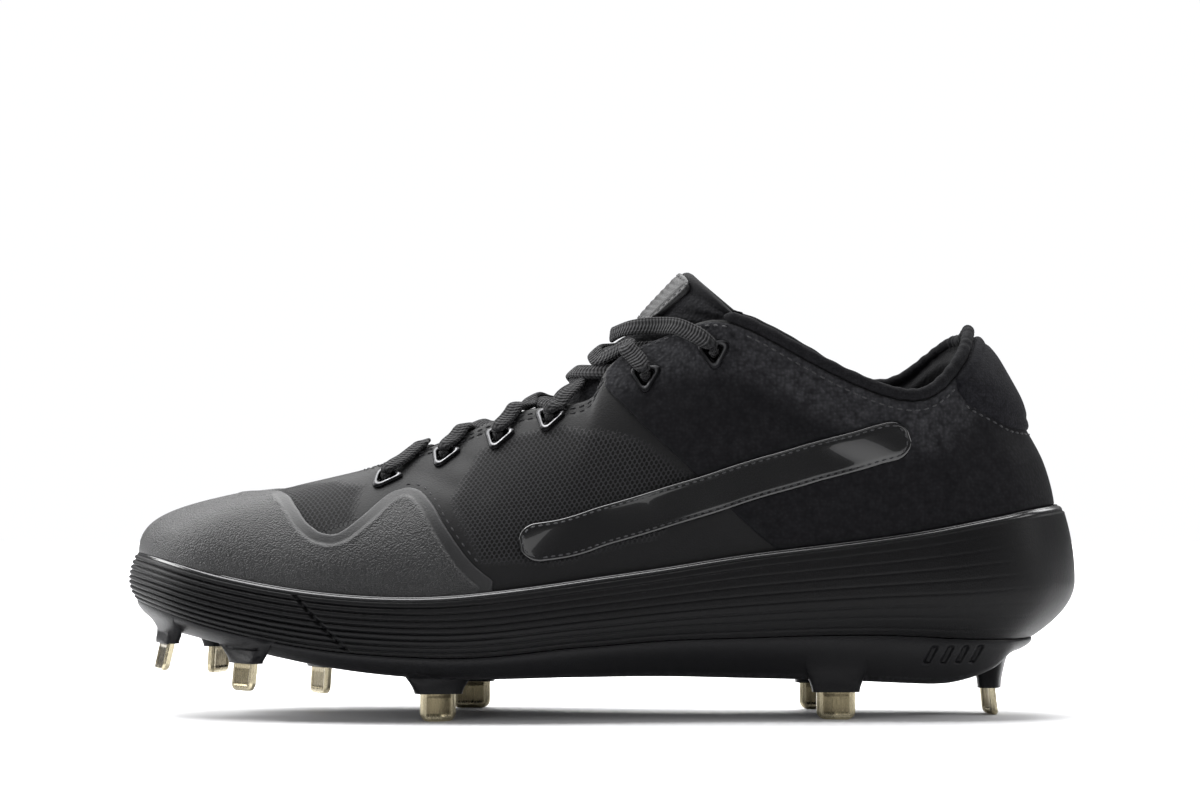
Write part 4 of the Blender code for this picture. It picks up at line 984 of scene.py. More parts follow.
# pitch of the loops and depth of the relief in metres, then sheen
knits = {
    "knit": ("quarterKnit", (0.0024, 0.0024, 0.003), (0.060, 0.060, 0.065), 0.0011, 0.0004, 0.01),
    "pad": ("padKnit", (0.0028, 0.0028, 0.0036), (0.024, 0.024, 0.028), 0.0007, 0.00022, 0.015),
    "binding": ("collarBinding", (0.0034, 0.0034, 0.004), (0.020, 0.020, 0.022), 0.0006, 0.00015,
                0.02),
    "tongue": ("tongueKnit", (0.0036, 0.0036, 0.0042), (0.034, 0.034, 0.037), 0.0009, 0.0003, 0.02),
    "lining": ("lining", (0.0036, 0.0036, 0.004), (0.014, 0.014, 0.015), 0.0008, 0.0002, 0.03),
}
# roughness, size of the grain and its depth in metres, then specular level
rubbers = {
    "cap": ("capRubber", (0.0065, 0.0065, 0.0072), 0.46, 0.0006, 0.00024, 0.40),
    "label": ("labelRubber", (0.008, 0.008, 0.0085), 0.42, 0.0004, 0.00006, 0.30),
    "foam": ("soleFoam", (0.0030, 0.0030, 0.0034), 0.44, 0.0005, 0.00006, 0.14),
    "rim": ("rimRubber", (0.005, 0.005, 0.0055), 0.20, 0.0008, 0.00003, 0.65),
}
# roughness, then the colour of worn edges and of the painted highlight on the eyelets' crests
metals = {
    "steel": ("spikeSteel", (0.20, 0.17, 0.105), 0.24, (0.56, 0.50, 0.35)),
    "brightEyelet": ("brightEyelet", (0.014, 0.014, 0.015), 0.26, (0.36, 0.36, 0.37)),
    "darkEyelet": ("darkEyelet", (0.010, 0.010, 0.011), 0.34, (0.13, 0.13, 0.135)),
}
look = {
    "textile": meshTextileMaterial(),
    **{key: knitMaterial(*values) for key, values in knits.items()},
    **{key: rubberMaterial(*values) for key, values in rubbers.items()},
    "plate": plateMaterial(),
    "patent": patentMaterial(),
    "lace": laceMaterial(),
    **{key: metalMaterial(*values) for key, values in metals.items()},
    "thread": threadMaterial(),
    "floor": floorMaterial(),
}
print("materials ready")


# upper

eyelets = {
    "places": [3.07, 3.87, 4.69, 5.36, 7.66, 8.70],
    "heights": [0.775, 0.85, 0.84, 0.90, 0.80, 0.845],
    "onQuarter": [0, 0, 0, 0, 1, 1],
    "hole": 3.6,  # centre to corner of the three-sided hole
    "rim": 1.15,  # radius of the rim's wire
    "round": 0.42,  # how far its corners are rounded
    "stand": 1.9,  # how much larger the rim is than the hole
    "cut": 1.12,  # the wall's hole over the rim's
}


def eyeletSpots():
    for number, (place, height, stacked) in enumerate(
        zip(eyelets["places"], eyelets["heights"], eyelets["onQuarter"]), 1
    ):
        yield "lateral", number, place, height, stacked
        yield "medial", number, around - place, height, stacked


def triangleReach(angle):
    # centre to border of a three-cornered outline, point down: half of 1 / cos of the angle
    # from the nearest side
    return 0.5 / np.cos((angle + math.pi / 2) % (2 * math.pi / 3) - math.pi / 3)


def roundedTriangle(size, count):
    # the outline blended towards a circle so that its corners are round
    angle = np.arange(count) * 2 * math.pi / count
    radius = size * np.minimum(triangleReach(angle), 1 - eyelets["round"] * 0.5)
    radius = (np.roll(radius, 1) + 2 * radius + np.roll(radius, -1)) / 4
    return radius * np.cos(angle), radius * np.sin(angle)


def holeMask(places, heights, only=(0, 1)):
    # True where a cell of the grid lies in an eyelet's hole
    inHole = np.zeros(places.shape, bool)
    size = eyelets["hole"] * eyelets["cut"]
    for _, _, place, height, stacked in eyeletSpots():
        if stacked in only:
            upLength, flatWay, mixed = flatWays(place, height)
            x = (places - place) * flatWay
            y = (heights - height) * upLength + (places - place) * mixed
            reach = np.minimum(triangleReach(np.arctan2(y, x)), 0.8)
            inHole |= np.hypot(x, y) < size * reach
    return inHole


meshWindows = {
    "front": [(-3.15, 0.455), (-2.84, 0.735), (-1.97, 0.835), (1.97, 0.835), (2.84, 0.735),
              (3.15, 0.455), (2.83, 0.34), (1.9, 0.5), (0.0, 0.64), (-1.9, 0.5), (-2.83, 0.34)],
    "side": [(4.29, 0.495), (4.47, 0.79), (5.56, 0.845), (7.61, 0.525), (8.45, 0.32), (7.9, 0.115),
             (6.08, 0.085), (4.91, 0.125)],
    "fade": 2.6,  # how softly the film runs out over the mesh
}


def windowMask(places, heights, points):
    # 1 in the open windows, fading over the film by the distance from their border
    centred = (places + heel) % around - heel
    mask = np.zeros(places.shape)
    for corners, at in ((meshWindows["front"], centred), (meshWindows["side"], abs(centred))):
        inside = insideLoop(at, heights, corners)
        loop = np.array(corners + corners[:1])
        fine = np.concatenate([
            np.linspace(a, b, 24, endpoint=False) for a, b in zip(loop, loop[1:])
        ])
        far = lineDistance(points, bareWall(fine[:, 0] % around, fine[:, 1]))
        if corners is meshWindows["side"]:
            mirrored = bareWall((-fine[:, 0]) % around, fine[:, 1])
            far = np.minimum(far, lineDistance(points, mirrored))
        signed, fade = np.where(inside, far, -far), meshWindows["fade"]
        mask = np.maximum(mask, softSteps(signed, -0.3 * fade, fade))
    return mask


upperLook = {
    "columns": 540,
    "rowsBelow": 4,
    "rowsAbove": 66,
    "collarPad": 3.6,  # foam behind the collar, over the wall's own thickness
    "seamDepth": 0.30,
    "seamWidth": 0.55,
    "seams": [2.3, 4.6],  # sewn lines, from the throat's edge
    "edgeRound": 0.45,  # how far the top edge is rounded off
    "windowDepth": 0.15,
}


def makeUpper():
    # the folded wall outside; inside it the wall's thickness and the collar's foam
    places = np.arange(upperLook["columns"]) * around / upperLook["columns"]
    heights = np.concatenate([
        np.linspace(-1, 0, upperLook["rowsBelow"], endpoint=False),
        np.linspace(0, 1, upperLook["rowsAbove"]),
    ])
    place, height = np.meshgrid(places, heights)
    base, _, upWay, normal = wallSlopes(place, height)
    fromTop = (1 - height) * lengths(upWay)
    centred = abs((place + heel) % around - heel)
    throat = softSteps(centred, 9.6, 8.8)
    seam = sum(bell(fromTop - d, upperLook["seamWidth"]) for d in upperLook["seams"])
    quarterUnder = softSteps(centred, 7.2, 7.6)
    relief = foldRelief(base) - upperLook["seamDepth"] * seam * throat * (1 - quarterUnder)
    aboveRim = softSteps(height, -0.2, 0.02)
    relief = relief * aboveRim - upperLook["edgeRound"] * bell(fromTop, 0.8)
    window = windowMask(place, height, base)
    outer = base + normal * (relief - upperLook["windowDepth"] * window)[..., None]
    pad = upperLook["collarPad"] * softSteps(centred, 8.9, 10.4)
    pad = pad * softSteps(height, 0.42, 0.72) * softSteps(height, 1.0, 0.90)
    thick = shoe["wall"] + pad
    inner = base + normal * (relief * aboveRim * 0.5 - thick)[..., None]
    inner[0] = outer[0] - (outer[0] - inner[0]) * [1, 1, 0]
    # the mesh runs lengthwise, and across the toes or up the side
    v = np.where(centred < 3.7, base[..., 1], height * lengths(upWay))
    uv = np.stack([base[..., 0], v], -1) * mm
    uv = np.concatenate([uv, uv[:, :1]], axis=1)
    cellPlace = place[:-1] + around / upperLook["columns"] / 2
    cellHeight = (height[:-1] + height[1:]) / 2
    keep = ~holeMask(cellPlace, cellHeight)
    piece = shellPiece(
        "upper_shell", outer, inner, [look["textile"], look["lining"]], uv=uv,
        masks={"meshWindow": window}, keep=keep, closeColumns=True, crease=60,
    )
    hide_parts("upper")


makeUpper()
print("upper ready")


# pieces laid on the upper

sunk = 0.35  # how far their backs lie in the wall


def panelGrid(places, low, high, rows):
    place = np.repeat(places[None, :], rows, 0)
    return place, low[None, :] + (high - low)[None, :] * easedSteps(rows)[:, None]


def overlayPiece(name, places, low, high, rows, thick, edgeRound, material, under=0.1,
                 bands=None, keep=None, crown=None, smoothMask=None, openFoot=False):
    # a panel between two edges of the wall. Its thickness follows a quarter circle from its
    # border, whose distance is measured in space, and may step up inside a band.
    place, height = panelGrid(places, low, high, rows)
    base, _, upWay, normal = wallSlopes(place, height)
    relief = foldRelief(base)
    lowEdge = base[:1, 0] if openFoot else base[0]
    border = np.concatenate([lowEdge, base[:, -1], base[-1, ::-1], base[::-1, 0]])
    fine = throughPoints(border[:: max(1, len(border) // 900)], 1800)
    far = lineDistance(base, fine)
    level = thick * quarterRound(far / edgeRound)
    smooth = np.zeros(place.shape)
    if bands:
        width, step = bands
        smooth = softSteps(far, width + 0.5, width - 0.5)
        level = level + step * softSteps(far, width - 0.2, width + 1.0)
        level = level + 0.25 * bell(far - width - 0.6, 0.6)
    if crown is not None:
        level = level + crown(place, height, far)
    if smoothMask is not None:
        smooth = smoothMask(place, height)
    outer = base + normal * (relief + under + level)[..., None]
    inner = base + normal * (relief + under - sunk)[..., None]
    uv = np.stack([base[..., 0], lengths(upWay) * height], -1) * mm
    masks = {"edge": bell(far, 1.3), "smooth": smooth}
    return shellPiece(name, outer, inner, [material], uv=uv, masks=masks, keep=keep, crease=60)


toeCap = {
    "place": [0, 0.5, 1, 1.5, 1.95, 2.35, 2.7, 2.9, 3.08, 3.22, 3.34, 3.52, 3.8, 4.05, 4.35,
              4.78, 5.11],
    "high": [0.72, 0.725, 0.725, 0.695, 0.635, 0.53, 0.41, 0.36, 0.37, 0.48, 0.6, 0.64, 0.6,
             0.495, 0.33, 0.14, 0.045],
    "low": 0.0,
    "columns": 620,
    "rows": 44,
    "band": 4.2,  # smooth border
    "thick": 0.85,
    "step": 0.5,  # how far the middle stands over the border
}


def makeToeCap():
    end = toeCap["place"][-1]
    places = np.linspace(-end, end, toeCap["columns"])
    mirroredPlaces = [-p for p in toeCap["place"][:0:-1]] + toeCap["place"]
    mirroredHigh = toeCap["high"][:0:-1] + toeCap["high"]
    high = throughRows(places, mirroredPlaces, mirroredHigh)
    piece = overlayPiece(
        "toe_cap_shell", places % around, np.full(len(places), toeCap["low"]), high, toeCap["rows"],
        toeCap["thick"], 0.8, look["cap"], bands=(toeCap["band"], toeCap["step"]), openFoot=True,
    )
    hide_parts("toe_cap")


quarterPanel = {
    "place": [6.95, 7.2, 7.6, 8, 8.5, 9, 9.4],
    "low": [0.86, 0.76, 0.6, 0.465, 0.31, 0.145, 0.0],
    "frontTop": 0.95,
    "top": 0.985,
    "columns": 680,
    "rows": 70,
    "thick": 1.0,
    "knitBand": 17.0,  # how far the open knit reaches down from the collar
}


def makeQuarter():
    start = quarterPanel["place"][0]
    places = np.linspace(start, around - start, quarterPanel["columns"])
    near = fromToe(places)
    slant = throughRows(near, quarterPanel["place"], quarterPanel["low"])
    low = np.where(near < quarterPanel["place"][-1], slant, 0.0)
    rise = (quarterPanel["top"] - quarterPanel["frontTop"]) * softSteps(near, start, start + 0.3)
    high = quarterPanel["frontTop"] + rise

    def smoothMask(place, height):
        _, _, upWay, _ = wallSlopes(place, height)
        fromTop = (1 - height) * lengths(upWay)
        return softSteps(fromTop, quarterPanel["knitBand"] - 6, quarterPanel["knitBand"] + 6)

    place, height = panelGrid(places, low, high, quarterPanel["rows"])
    cellPlace = (place[:-1, :-1] + place[:-1, 1:]) / 2
    cellHeight = (height[:-1, :-1] + height[1:, :-1] + height[:-1, 1:] + height[1:, 1:]) / 4
    keep = ~holeMask(cellPlace, cellHeight, only=(1,))
    piece = overlayPiece(
        "quarter_shell", places, low, high, quarterPanel["rows"], quarterPanel["thick"], 0.9,
        look["knit"], keep=keep, smoothMask=smoothMask,
    )
    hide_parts("quarter")


heelPad = {
    "place": [12.66, 12.8, 13.02, 13.35, 13.75, 14.2, 14.6, 15],
    "low": [0.9, 0.78, 0.69, 0.59, 0.5, 0.44, 0.41, 0.4],
    "top": 0.985,
    "columns": 220,
    "rows": 60,
    "edge": 1.3,
    "swell": 3.1,
}


def makeHeelPad():
    start = heelPad["place"][0]
    places = np.linspace(start, around - start, heelPad["columns"])
    low = throughRows(fromToe(places), heelPad["place"], heelPad["low"])
    high = np.full(len(places), heelPad["top"])

    def crown(place, height, far):
        # a cushion: it swells with the distance from its border and dips along one sewn line
        rise = heelPad["swell"] * (1 - np.exp(-(far / 5.5) ** 1.6))
        fromHeel = abs(place - heel)
        dip = 0.35 * bell(far - 3.2, 0.7)
        return rise - dip - 0.25 * bell(fromHeel, 0.12) * softSteps(far, 3, 7)

    piece = overlayPiece(
        "heel_pad_cushion", places, low, high, heelPad["rows"], heelPad["edge"], 1.2, look["pad"],
        under=1.0, crown=crown,
    )
    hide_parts("heel_pad")


makeToeCap()
makeQuarter()
makeHeelPad()
print("overlays ready")


sideBand = {
    "place": [5.40, 5.70, 6.30, 7.03, 7.50, 8.00, 8.71, 9.47, 10.00, 10.50, 10.85, 11.15, 11.42],
    "height": [0.192, 0.200, 0.2025, 0.204, 0.2115, 0.2315, 0.27, 0.3525, 0.4425, 0.54, 0.615,
               0.668, 0.708],
    "width": 12.6,
    "thick": 1.0,
    "lift": 0.4,
    "stitchRows": [1.3],  # from its border
}


def bandSpots(share, side):
    # the band's centre line, in its own share of length, and its run in millimetres
    fine = np.linspace(0, 1, 400)
    index = np.linspace(0, len(sideBand["place"]) - 1, 400)
    rows = np.arange(len(sideBand["place"]))
    place, height = (throughRows(index, rows, sideBand[k]) for k in ("place", "height"))
    if side > 0:
        place = around - place
    run = runLength(bareWall(place, height))
    at = np.interp(share * run[-1], run, fine)
    return np.interp(at, fine, place), np.interp(at, fine, height), run[-1]


def bandGrid(side, share, across):
    # spots of the band: share along it and millimetres across it
    place, height, total = bandSpots(share, side)
    ahead = bandSpots(np.clip(share + 0.004, 0, 1), side)
    behind = bandSpots(np.clip(share - 0.004, 0, 1), side)
    _, alongWay, upWay, normal = wallSlopes(place, height)
    tangent = unit(bareWall(ahead[0], ahead[1]) - bareWall(behind[0], behind[1]))
    sideways = np.cross(normal, tangent)
    aa, bb, ab = (alongWay**2).sum(-1), (upWay**2).sum(-1), (alongWay * upWay).sum(-1)
    da, db = (sideways * alongWay).sum(-1), (sideways * upWay).sum(-1)
    det = aa * bb - ab**2
    return (
        place + across * (da * bb - db * ab) / det,
        height + across * (db * aa - da * ab) / det,
        total,
    )


def quarterLevel(places, heights):
    # how high the quarter stands over the wall at a spot, so that the band climbs onto it
    near = fromToe(places % around)
    edge = np.where(near < 9.4, np.interp(near, quarterPanel["place"], quarterPanel["low"]), 0.0)
    edge = np.where(near < quarterPanel["place"][0], 2.0, edge)
    return quarterPanel["thick"] * softSteps(heights - edge, -0.34, 0.04)


def bandBase(side, share, across):
    # the wall under the band, its normal and how high the band's back lies over it
    place, height, _ = bandGrid(side, share, across)
    base, _, _, normal = wallSlopes(place, height)
    return base, normal, 0.5 * foldRelief(base) + sideBand["lift"] + quarterLevel(place, height)


def makeSideBands():
    share = easedSteps(260)
    across = np.sin(np.linspace(-0.5, 0.5, 25) * math.pi)
    for side, name in ((-1, "lateral"), (1, "medial")):
        total = bandSpots(np.array([0.5]), side)[2]
        radius = sideBand["width"] / 2
        fromEnd = np.minimum(share, 1 - share) * total
        reach = radius * quarterRound(fromEnd / radius, 1e-4)
        w = across[:, None] * reach[None, :]
        base, normal, ground = bandBase(side, np.repeat(share[None, :], len(across), 0), w)
        border = np.minimum(reach[None, :] - abs(w), fromEnd[None, :])
        level = sideBand["thick"] * quarterRound(border / 0.9)
        for row in sideBand["stitchRows"]:
            level = level - 0.10 * bell(border - row, 0.45)
        outer = base + normal * (ground + level)[..., None]
        inner = base + normal * (ground - sunk)[..., None]
        piece = shellPiece(
            f"side_band_{name}", outer, inner, [look["patent"]],
            masks={"edge": bell(border, 0.8)}, crease=60,
        )
        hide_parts(f"strap_{name}")


makeSideBands()
print("side bands ready")


# collar binding

binding = {"from": 8.9, "radius": 2.0, "sides": 16, "steps": 420, "ripple": 0.07}


def superCircle(angle, power):
    # |cos|^power and |sin|^power with their signs; below 1 it is squarer than a circle
    return tuple(np.sign(wave) * abs(wave) ** power for wave in (np.cos(angle), np.sin(angle)))


def sweptTube(line, up, width, thick, sides, power=1.0):
    # a superellipse carried along a line, its flat side facing up
    tangent = unit(np.gradient(line, axis=0))
    across = unit(np.cross(tangent, up))
    out = np.cross(across, tangent)
    c, s = superCircle(np.arange(sides) * 2 * math.pi / sides, power)
    return (
        line[:, None, :]
        + across[:, None, :] * (width[:, None] / 2 * c)[..., None]
        + out[:, None, :] * (thick[:, None] / 2 * s)[..., None]
    )


def makeBinding():
    # a round cord on the top edge, tapered at both ends and slightly uneven
    places = np.linspace(binding["from"], around - binding["from"], binding["steps"])
    up = unit(bareWall(places, 1.0) - bareWall(places, 0.98))
    line = onWall(places, 1.0, -shoe["wall"] / 2) + up * (binding["radius"] * 0.75)
    share = np.linspace(0, 1, len(line))
    taper = np.sqrt(np.clip(np.minimum(share, 1 - share) / 0.012, 0.02, 1))
    ripple = 1 + binding["ripple"] * np.sin(share * 260) * np.sin(share * 37)
    size = 2 * binding["radius"] * taper * ripple
    grid = sweptTube(line, up, size * 0.95, size, binding["sides"])
    piece = tubePiece("collar_binding", grid, look["binding"], crease=80)
    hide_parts("collar_piping")


makeBinding()


# tongue

tongue = {
    "place": [1.2, 1.9, 3, 4, 5, 6, 7, 8, 8.7, 9.15],
    "reach": [0.12, 0.15, 0.18, 0.2, 0.22, 0.24, 0.26, 0.24, 0.2, 0.18],
    "lift": [0, 0, 0, 0, 0, 0, 0, 0, 0.03, 0.03],
    "along": [0.247, 0.268, 0.3, 0.353, 0.418, 0.468, 0.497, 0.528, 0.557, 0.592],
    "rise": [0.61, 0.622, 0.65, 0.717, 0.79, 0.862, 0.925, 0.998, 1.079, 1.17],
    "thick": 4.0,
    "clearance": 2.5,  # from the upper's inside
    "rows": 150,
    "columns": 120,
}


def tonguePoint(rows, sides):
    # across the tongue a quadratic Bezier from its middle to where it passes the throat's
    # edge; beyond 1 it runs down inside the wall
    rows, sides = np.broadcast_arrays(np.asarray(rows, float), np.asarray(sides, float))
    shape = rows.shape
    rows, sides = rows.ravel(), sides.ravel()
    own = np.arange(len(tongue["place"]))
    place, reach, lift, along, rise = (
        throughRows(rows, own, tongue[k]) for k in ("place", "reach", "lift", "along", "rise")
    )
    top = shoe["soleHeight"] + shoe["upperRise"]
    middle = np.stack([(along - 0.5) * shoe["length"], 0 * along, rise * top], axis=1)
    place = np.where(sides < 0, place, around - place)
    inside = -(shoe["wall"] + tongue["clearance"])
    at = bareWall(place, 1 + lift)
    normal = wallSlopes(place, 1 + lift)[3]
    edge = at + normal * inside
    low = 1 + lift - reach * np.clip(abs(sides) - 1, 0, None)
    beyond = bareWall(place, low) + wallSlopes(place, low)[3] * inside
    knee = middle + edge * [0.0, 0.6, 0.0]
    across = bezier([middle, knee, edge], np.clip(abs(sides), 0, 1))
    return np.where((abs(sides) <= 1)[:, None], across, beyond).reshape(shape + (3,))


def tongueNormal(rows, sides):
    rows, sides = np.broadcast_arrays(np.asarray(rows, float), np.asarray(sides, float))
    back = np.where(rows > len(tongue["place"]) - 1 - 2 * nudge, -1.0, 1.0)
    side = np.where(sides > 0, -1.0, 1.0)
    here = tonguePoint(rows, sides)
    up = (tonguePoint(rows + nudge * back, sides) - here) * back[..., None]
    over = (tonguePoint(rows, sides + nudge * side) - here) * side[..., None]
    return unit(np.cross(up, over))


def offTongue(rows, sides, offset):
    return tonguePoint(rows, sides) + tongueNormal(rows, sides) * np.asarray(offset)[..., None]


def makeTongue():
    # a pad of even thickness, quilted at the sides, with a sewn roll along its top
    last = len(tongue["place"]) - 1
    rows = last * (1 - (1 - np.linspace(0, 1, tongue["rows"])) ** 1.15)
    sides = np.linspace(-2, 2, tongue["columns"])
    side, row = np.meshgrid(sides, rows)
    point, normal = tonguePoint(row, side), tongueNormal(row, side)
    fromTop = (last - row) * 14.0  # about as many millimetres to a row, and 9 to a side
    fromSide = (2 - abs(side)) * 9.0
    rounded = quarterRound(np.minimum(fromTop, fromSide) / 2.0)
    roll = 0.55 * bell(fromTop - 2.2, 1.8) * (abs(side) < 1.6)
    seam = 0.55 * bell(fromTop - 5.2, 0.8)
    quilt = 0.25 * np.sin(row * 2 * math.pi * 1.6) * softSteps(abs(side), 0.35, 0.75)
    top = roll - seam + quilt * softSteps(fromTop, 4, 10)
    half = tongue["thick"] / 2
    outer = point + normal * (top - half + half * rounded)[..., None]
    inner = point + normal * (-half - half * rounded)[..., None]
    piece = shellPiece(
        "tongue_pad", outer, inner, [look["tongue"], look["lining"]],
        masks={"smooth": softSteps(fromTop, 6, 3)}, crease=70,
    )
    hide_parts("tongue")


label = {
    "rows": (7.45, 8.86),
    "sides": 0.5,
    "thick": 1.1,
    "lift": 0.5,
    "corner": 0.16,
    "ribs": 9,
    "inset": 0.86,  # share of its size at which it is sewn
}


def makeLabel():
    # a square grid pressed into a rounded rectangle: each corner drawn in with its distance
    u, v = np.meshgrid(np.linspace(-1, 1, 60), np.linspace(-1, 1, 44))
    pull = 1 - label["corner"] * (u**4) * (v**4)
    middle, half = sum(label["rows"]) / 2, (label["rows"][1] - label["rows"][0]) / 2
    side, row = u * pull * label["sides"], middle + half * v * pull
    border = np.minimum(1 - abs(u), 1 - abs(v))
    level = label["thick"] * quarterRound(border / 0.09) - 0.28 * bell(border - 0.17, 0.035)
    ribs = 0.10 * np.cos(v * math.pi * label["ribs"]) * softSteps(border, 0.24, 0.34)
    outer = offTongue(row, side, label["lift"] + level + ribs)
    inner = offTongue(row, side, label["lift"] - 0.4)
    piece = shellPiece("tongue_label_panel", outer, inner, [look["label"]],
                       masks={"edge": bell(border, 0.08), "smooth": 0 * border}, crease=70)
    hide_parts("tongue_label")


makeTongue()
makeLabel()
print("tongue ready")


# eyelets


def makeEyelets():
    # a rim: an ellipse carried round the rounded triangle that lies on the wall
    sides = 20
    angle = np.arange(sides) * 2 * math.pi / sides
    size = eyelets["hole"] + eyelets["stand"]
    x, y = roundedTriangle(size, 42)
    for side, number, place, height, stacked in eyeletSpots():
        level = stacked * quarterPanel["thick"] + 0.45
        rings = []
        for a in angle:
            grow = 1 + math.cos(a) * eyelets["rim"] / (0.72 * size)
            places, heights = besideSpot(place, height, x * grow, y * grow)
            rings.append(onWall(places, heights, level + 0.75 * math.sin(a)))
        grid = np.stack(rings, 1)
        rows, columns = grid.shape[:2]
        i, j = gridCorners(rows, columns, closeRows=True, closeColumns=True)
        faces = ((i % rows) * columns + j % columns).reshape(-1, 4)
        # painted highlight along its crest, strongest on the side towards the heel
        heelward = softSteps(grid.mean(1)[:, 0], *np.percentile(grid[..., 0], [10, 70]))
        paintedCrestHighlight = bell(angle - 1.75, 0.34) * (0.25 + 0.75 * heelward[:, None])
        piece = meshPiece(
            f"eyelet_rim_{side}_{number}", grid.reshape(-1, 3), faces,
            [look["darkEyelet" if stacked else "brightEyelet"]],
            masks={"edge": paintedCrestHighlight}, crease=80,
        )
        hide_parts(f"eyelet_{side}_{number}")


makeEyelets()


# laces

laces = {
    "width": 5.6,
    "thick": 1.8,
    "gather": 0.58,  # share of its width that a lace keeps in an eyelet
    "crossRow": [2.35, 3.30, 4.25, 5.30, 6.15],
    "crossRise": [0.35, 0.35, 0.35, 0.85, 0.60],
    "lean": [0.1, 0.1, 0.1, 0.1, -0.3, -0.6],  # how far round it goes on its way to the edge
    "over": 1.7,  # how far the upper strand passes over the other
    "loopRow": 6.75,
    "loopLift": 1.7,
    "loopClimb": 0.8,
}


def laceRise(number, side):
    # out of the eyelet, over its rim, along the wall and over the throat's edge
    lean = laces["lean"][number]
    place, height, stacked = (eyelets[k][number] for k in ("places", "heights", "onQuarter"))
    base = stacked * quarterPanel["thick"]
    climb = lengths(wallSlopes(place, height)[2])
    reach = (1 - height) * climb
    half = laces["thick"] / 2
    overRim = base + 1.25 + half
    travel = np.array([0.0, 0.3, 1.6, 3.6, 0.5 * (reach + 3.6), reach - 0.8, reach + 1.8])
    offsets = np.array([
        -1.6, 0.3 + base, overRim, overRim, base + half + 0.5, base + half + 0.4, half + 0.2
    ])
    places = place + lean * np.clip((travel - 2.0) / (reach - 2.0), 0, 1)
    heights = height + travel / climb
    if side > 0:
        places = around - places
    line = onWall(places, heights, offsets)
    normals = wallSlopes(places, heights)[3].copy()
    normals[0] = normals[1] = line[3] - line[2]
    widths = laces["width"] * np.array([laces["gather"], laces["gather"], 0.72, 0.92, 1, 1, 1])
    return line, unit(normals), widths


def laceOver(row, side, stops, climbs, lift):
    # over the padded tongue and down under the far edge
    stops = np.asarray(stops, float)
    half = laces["thick"] / 2
    sides, rows = -side * stops, row + np.asarray(climbs, float)
    rest = np.interp(stops, [-0.5, 0.0, 0.45, 0.85, 1.1], [1.2, 0.9, 0.8, 0.45, 0.3])
    line = offTongue(rows, sides, rest + lift + half)
    return line, tongueNormal(rows, sides), np.full(len(stops), laces["width"])


def laceBand(name, line, normals, widths):
    # a flat braid through the points of a line; where it is gathered it is thicker
    count = 150
    smooth = throughPoints(line, count)
    run = runLength(line) / runLength(line)[-1]
    fine = np.linspace(0, 1, count)
    up = unit(np.stack([throughRows(fine, run, c) for c in normals.T], -1))
    width = throughRows(fine, run, widths)
    tapered = np.sqrt(np.clip(np.minimum(fine, 1 - fine) / 0.01, 0.05, 1))
    full = laces["thick"] * (1 + 0.5 * (1 - width / laces["width"]))
    grid = sweptTube(smooth, up, width * tapered, full * tapered, 20, 2 / 3)
    return tubePiece(name, grid, look["lace"], crease=80)


def makeLaces():
    for number, (row, rise) in enumerate(zip(laces["crossRow"], laces["crossRise"])):
        for side in (-1, 1):
            upLine = laceRise(number, side)
            stops = [-0.45, -0.15, 0.15, 0.5, 0.85, 1.08, 1.32]
            climbs = [-0.12, -0.04, 0.05, 0.35 * rise, 0.7 * rise, 0.9 * rise, rise]
            isOver = side < 0 if number % 2 == 0 else side > 0
            lift = laces["over"] * isOver * bell(np.array(stops), 0.42)
            overLine = laceOver(row, side, stops, climbs, lift)
            line, normals, widths = (np.concatenate(both) for both in zip(upLine, overLine))
            name = f"lace_strand_{number + 1}_{'lateral' if side < 0 else 'medial'}"
            piece = laceBand(name, line, normals, widths)
            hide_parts(f"lace_{number + 1}")
    first, second = (laceRise(len(eyelets["places"]) - 1, side) for side in (-1, 1))
    stops = np.array([-0.7, -0.35, 0.0, 0.35, 0.7])
    climbs = laces["loopClimb"] * abs(stops)
    overLine = laceOver(laces["loopRow"], -1, stops, climbs, laces["loopLift"])
    parts = [np.concatenate([a[:-1], b, c[-2::-1]]) for a, b, c in zip(first, overLine, second)]
    # at the front the loop stands on its edge and is fuller
    upright = bell(parts[0][:, 1], 9.0)[:, None]
    parts[1] = parts[1] * (1 - upright) + upright * np.array([-1.0, 0.0, 0.12])
    parts[2] = parts[2] * (1 - 0.12 * upright[:, 0])
    piece = laceBand("lace_top_loop", *parts)
    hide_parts("lace_6")


makeLaces()
print("laces ready")


# sole

midsole = {
    "columns": 640,
    "grooves": 8,
    "grooveWidth": 0.36,
    "grooveDepth": [0.75, 0.75, 0.75, 0.70, 0.55, 0.45, 0.40, 0.36, 0.32, 0.30, 0.28, 0.24, 0.16,
                    0.08, 0.0, 0.0],
    "bead": 1.5,  # radius of the rim's outer edge
    "seamFrom": (-99.0, 43.5),  # slanting mould line of the outer side: x and z
    "seamTo": (-79.0, 22.0),
    "seamDepth": 1.1,
    "seamWidth": 0.6,
    "rowsSide": 104,
    # the rim's rows also carry a painted highlight through the edge mask
    "rimRows": slice(6, 12),  # rows of the rim's glossy bead
}


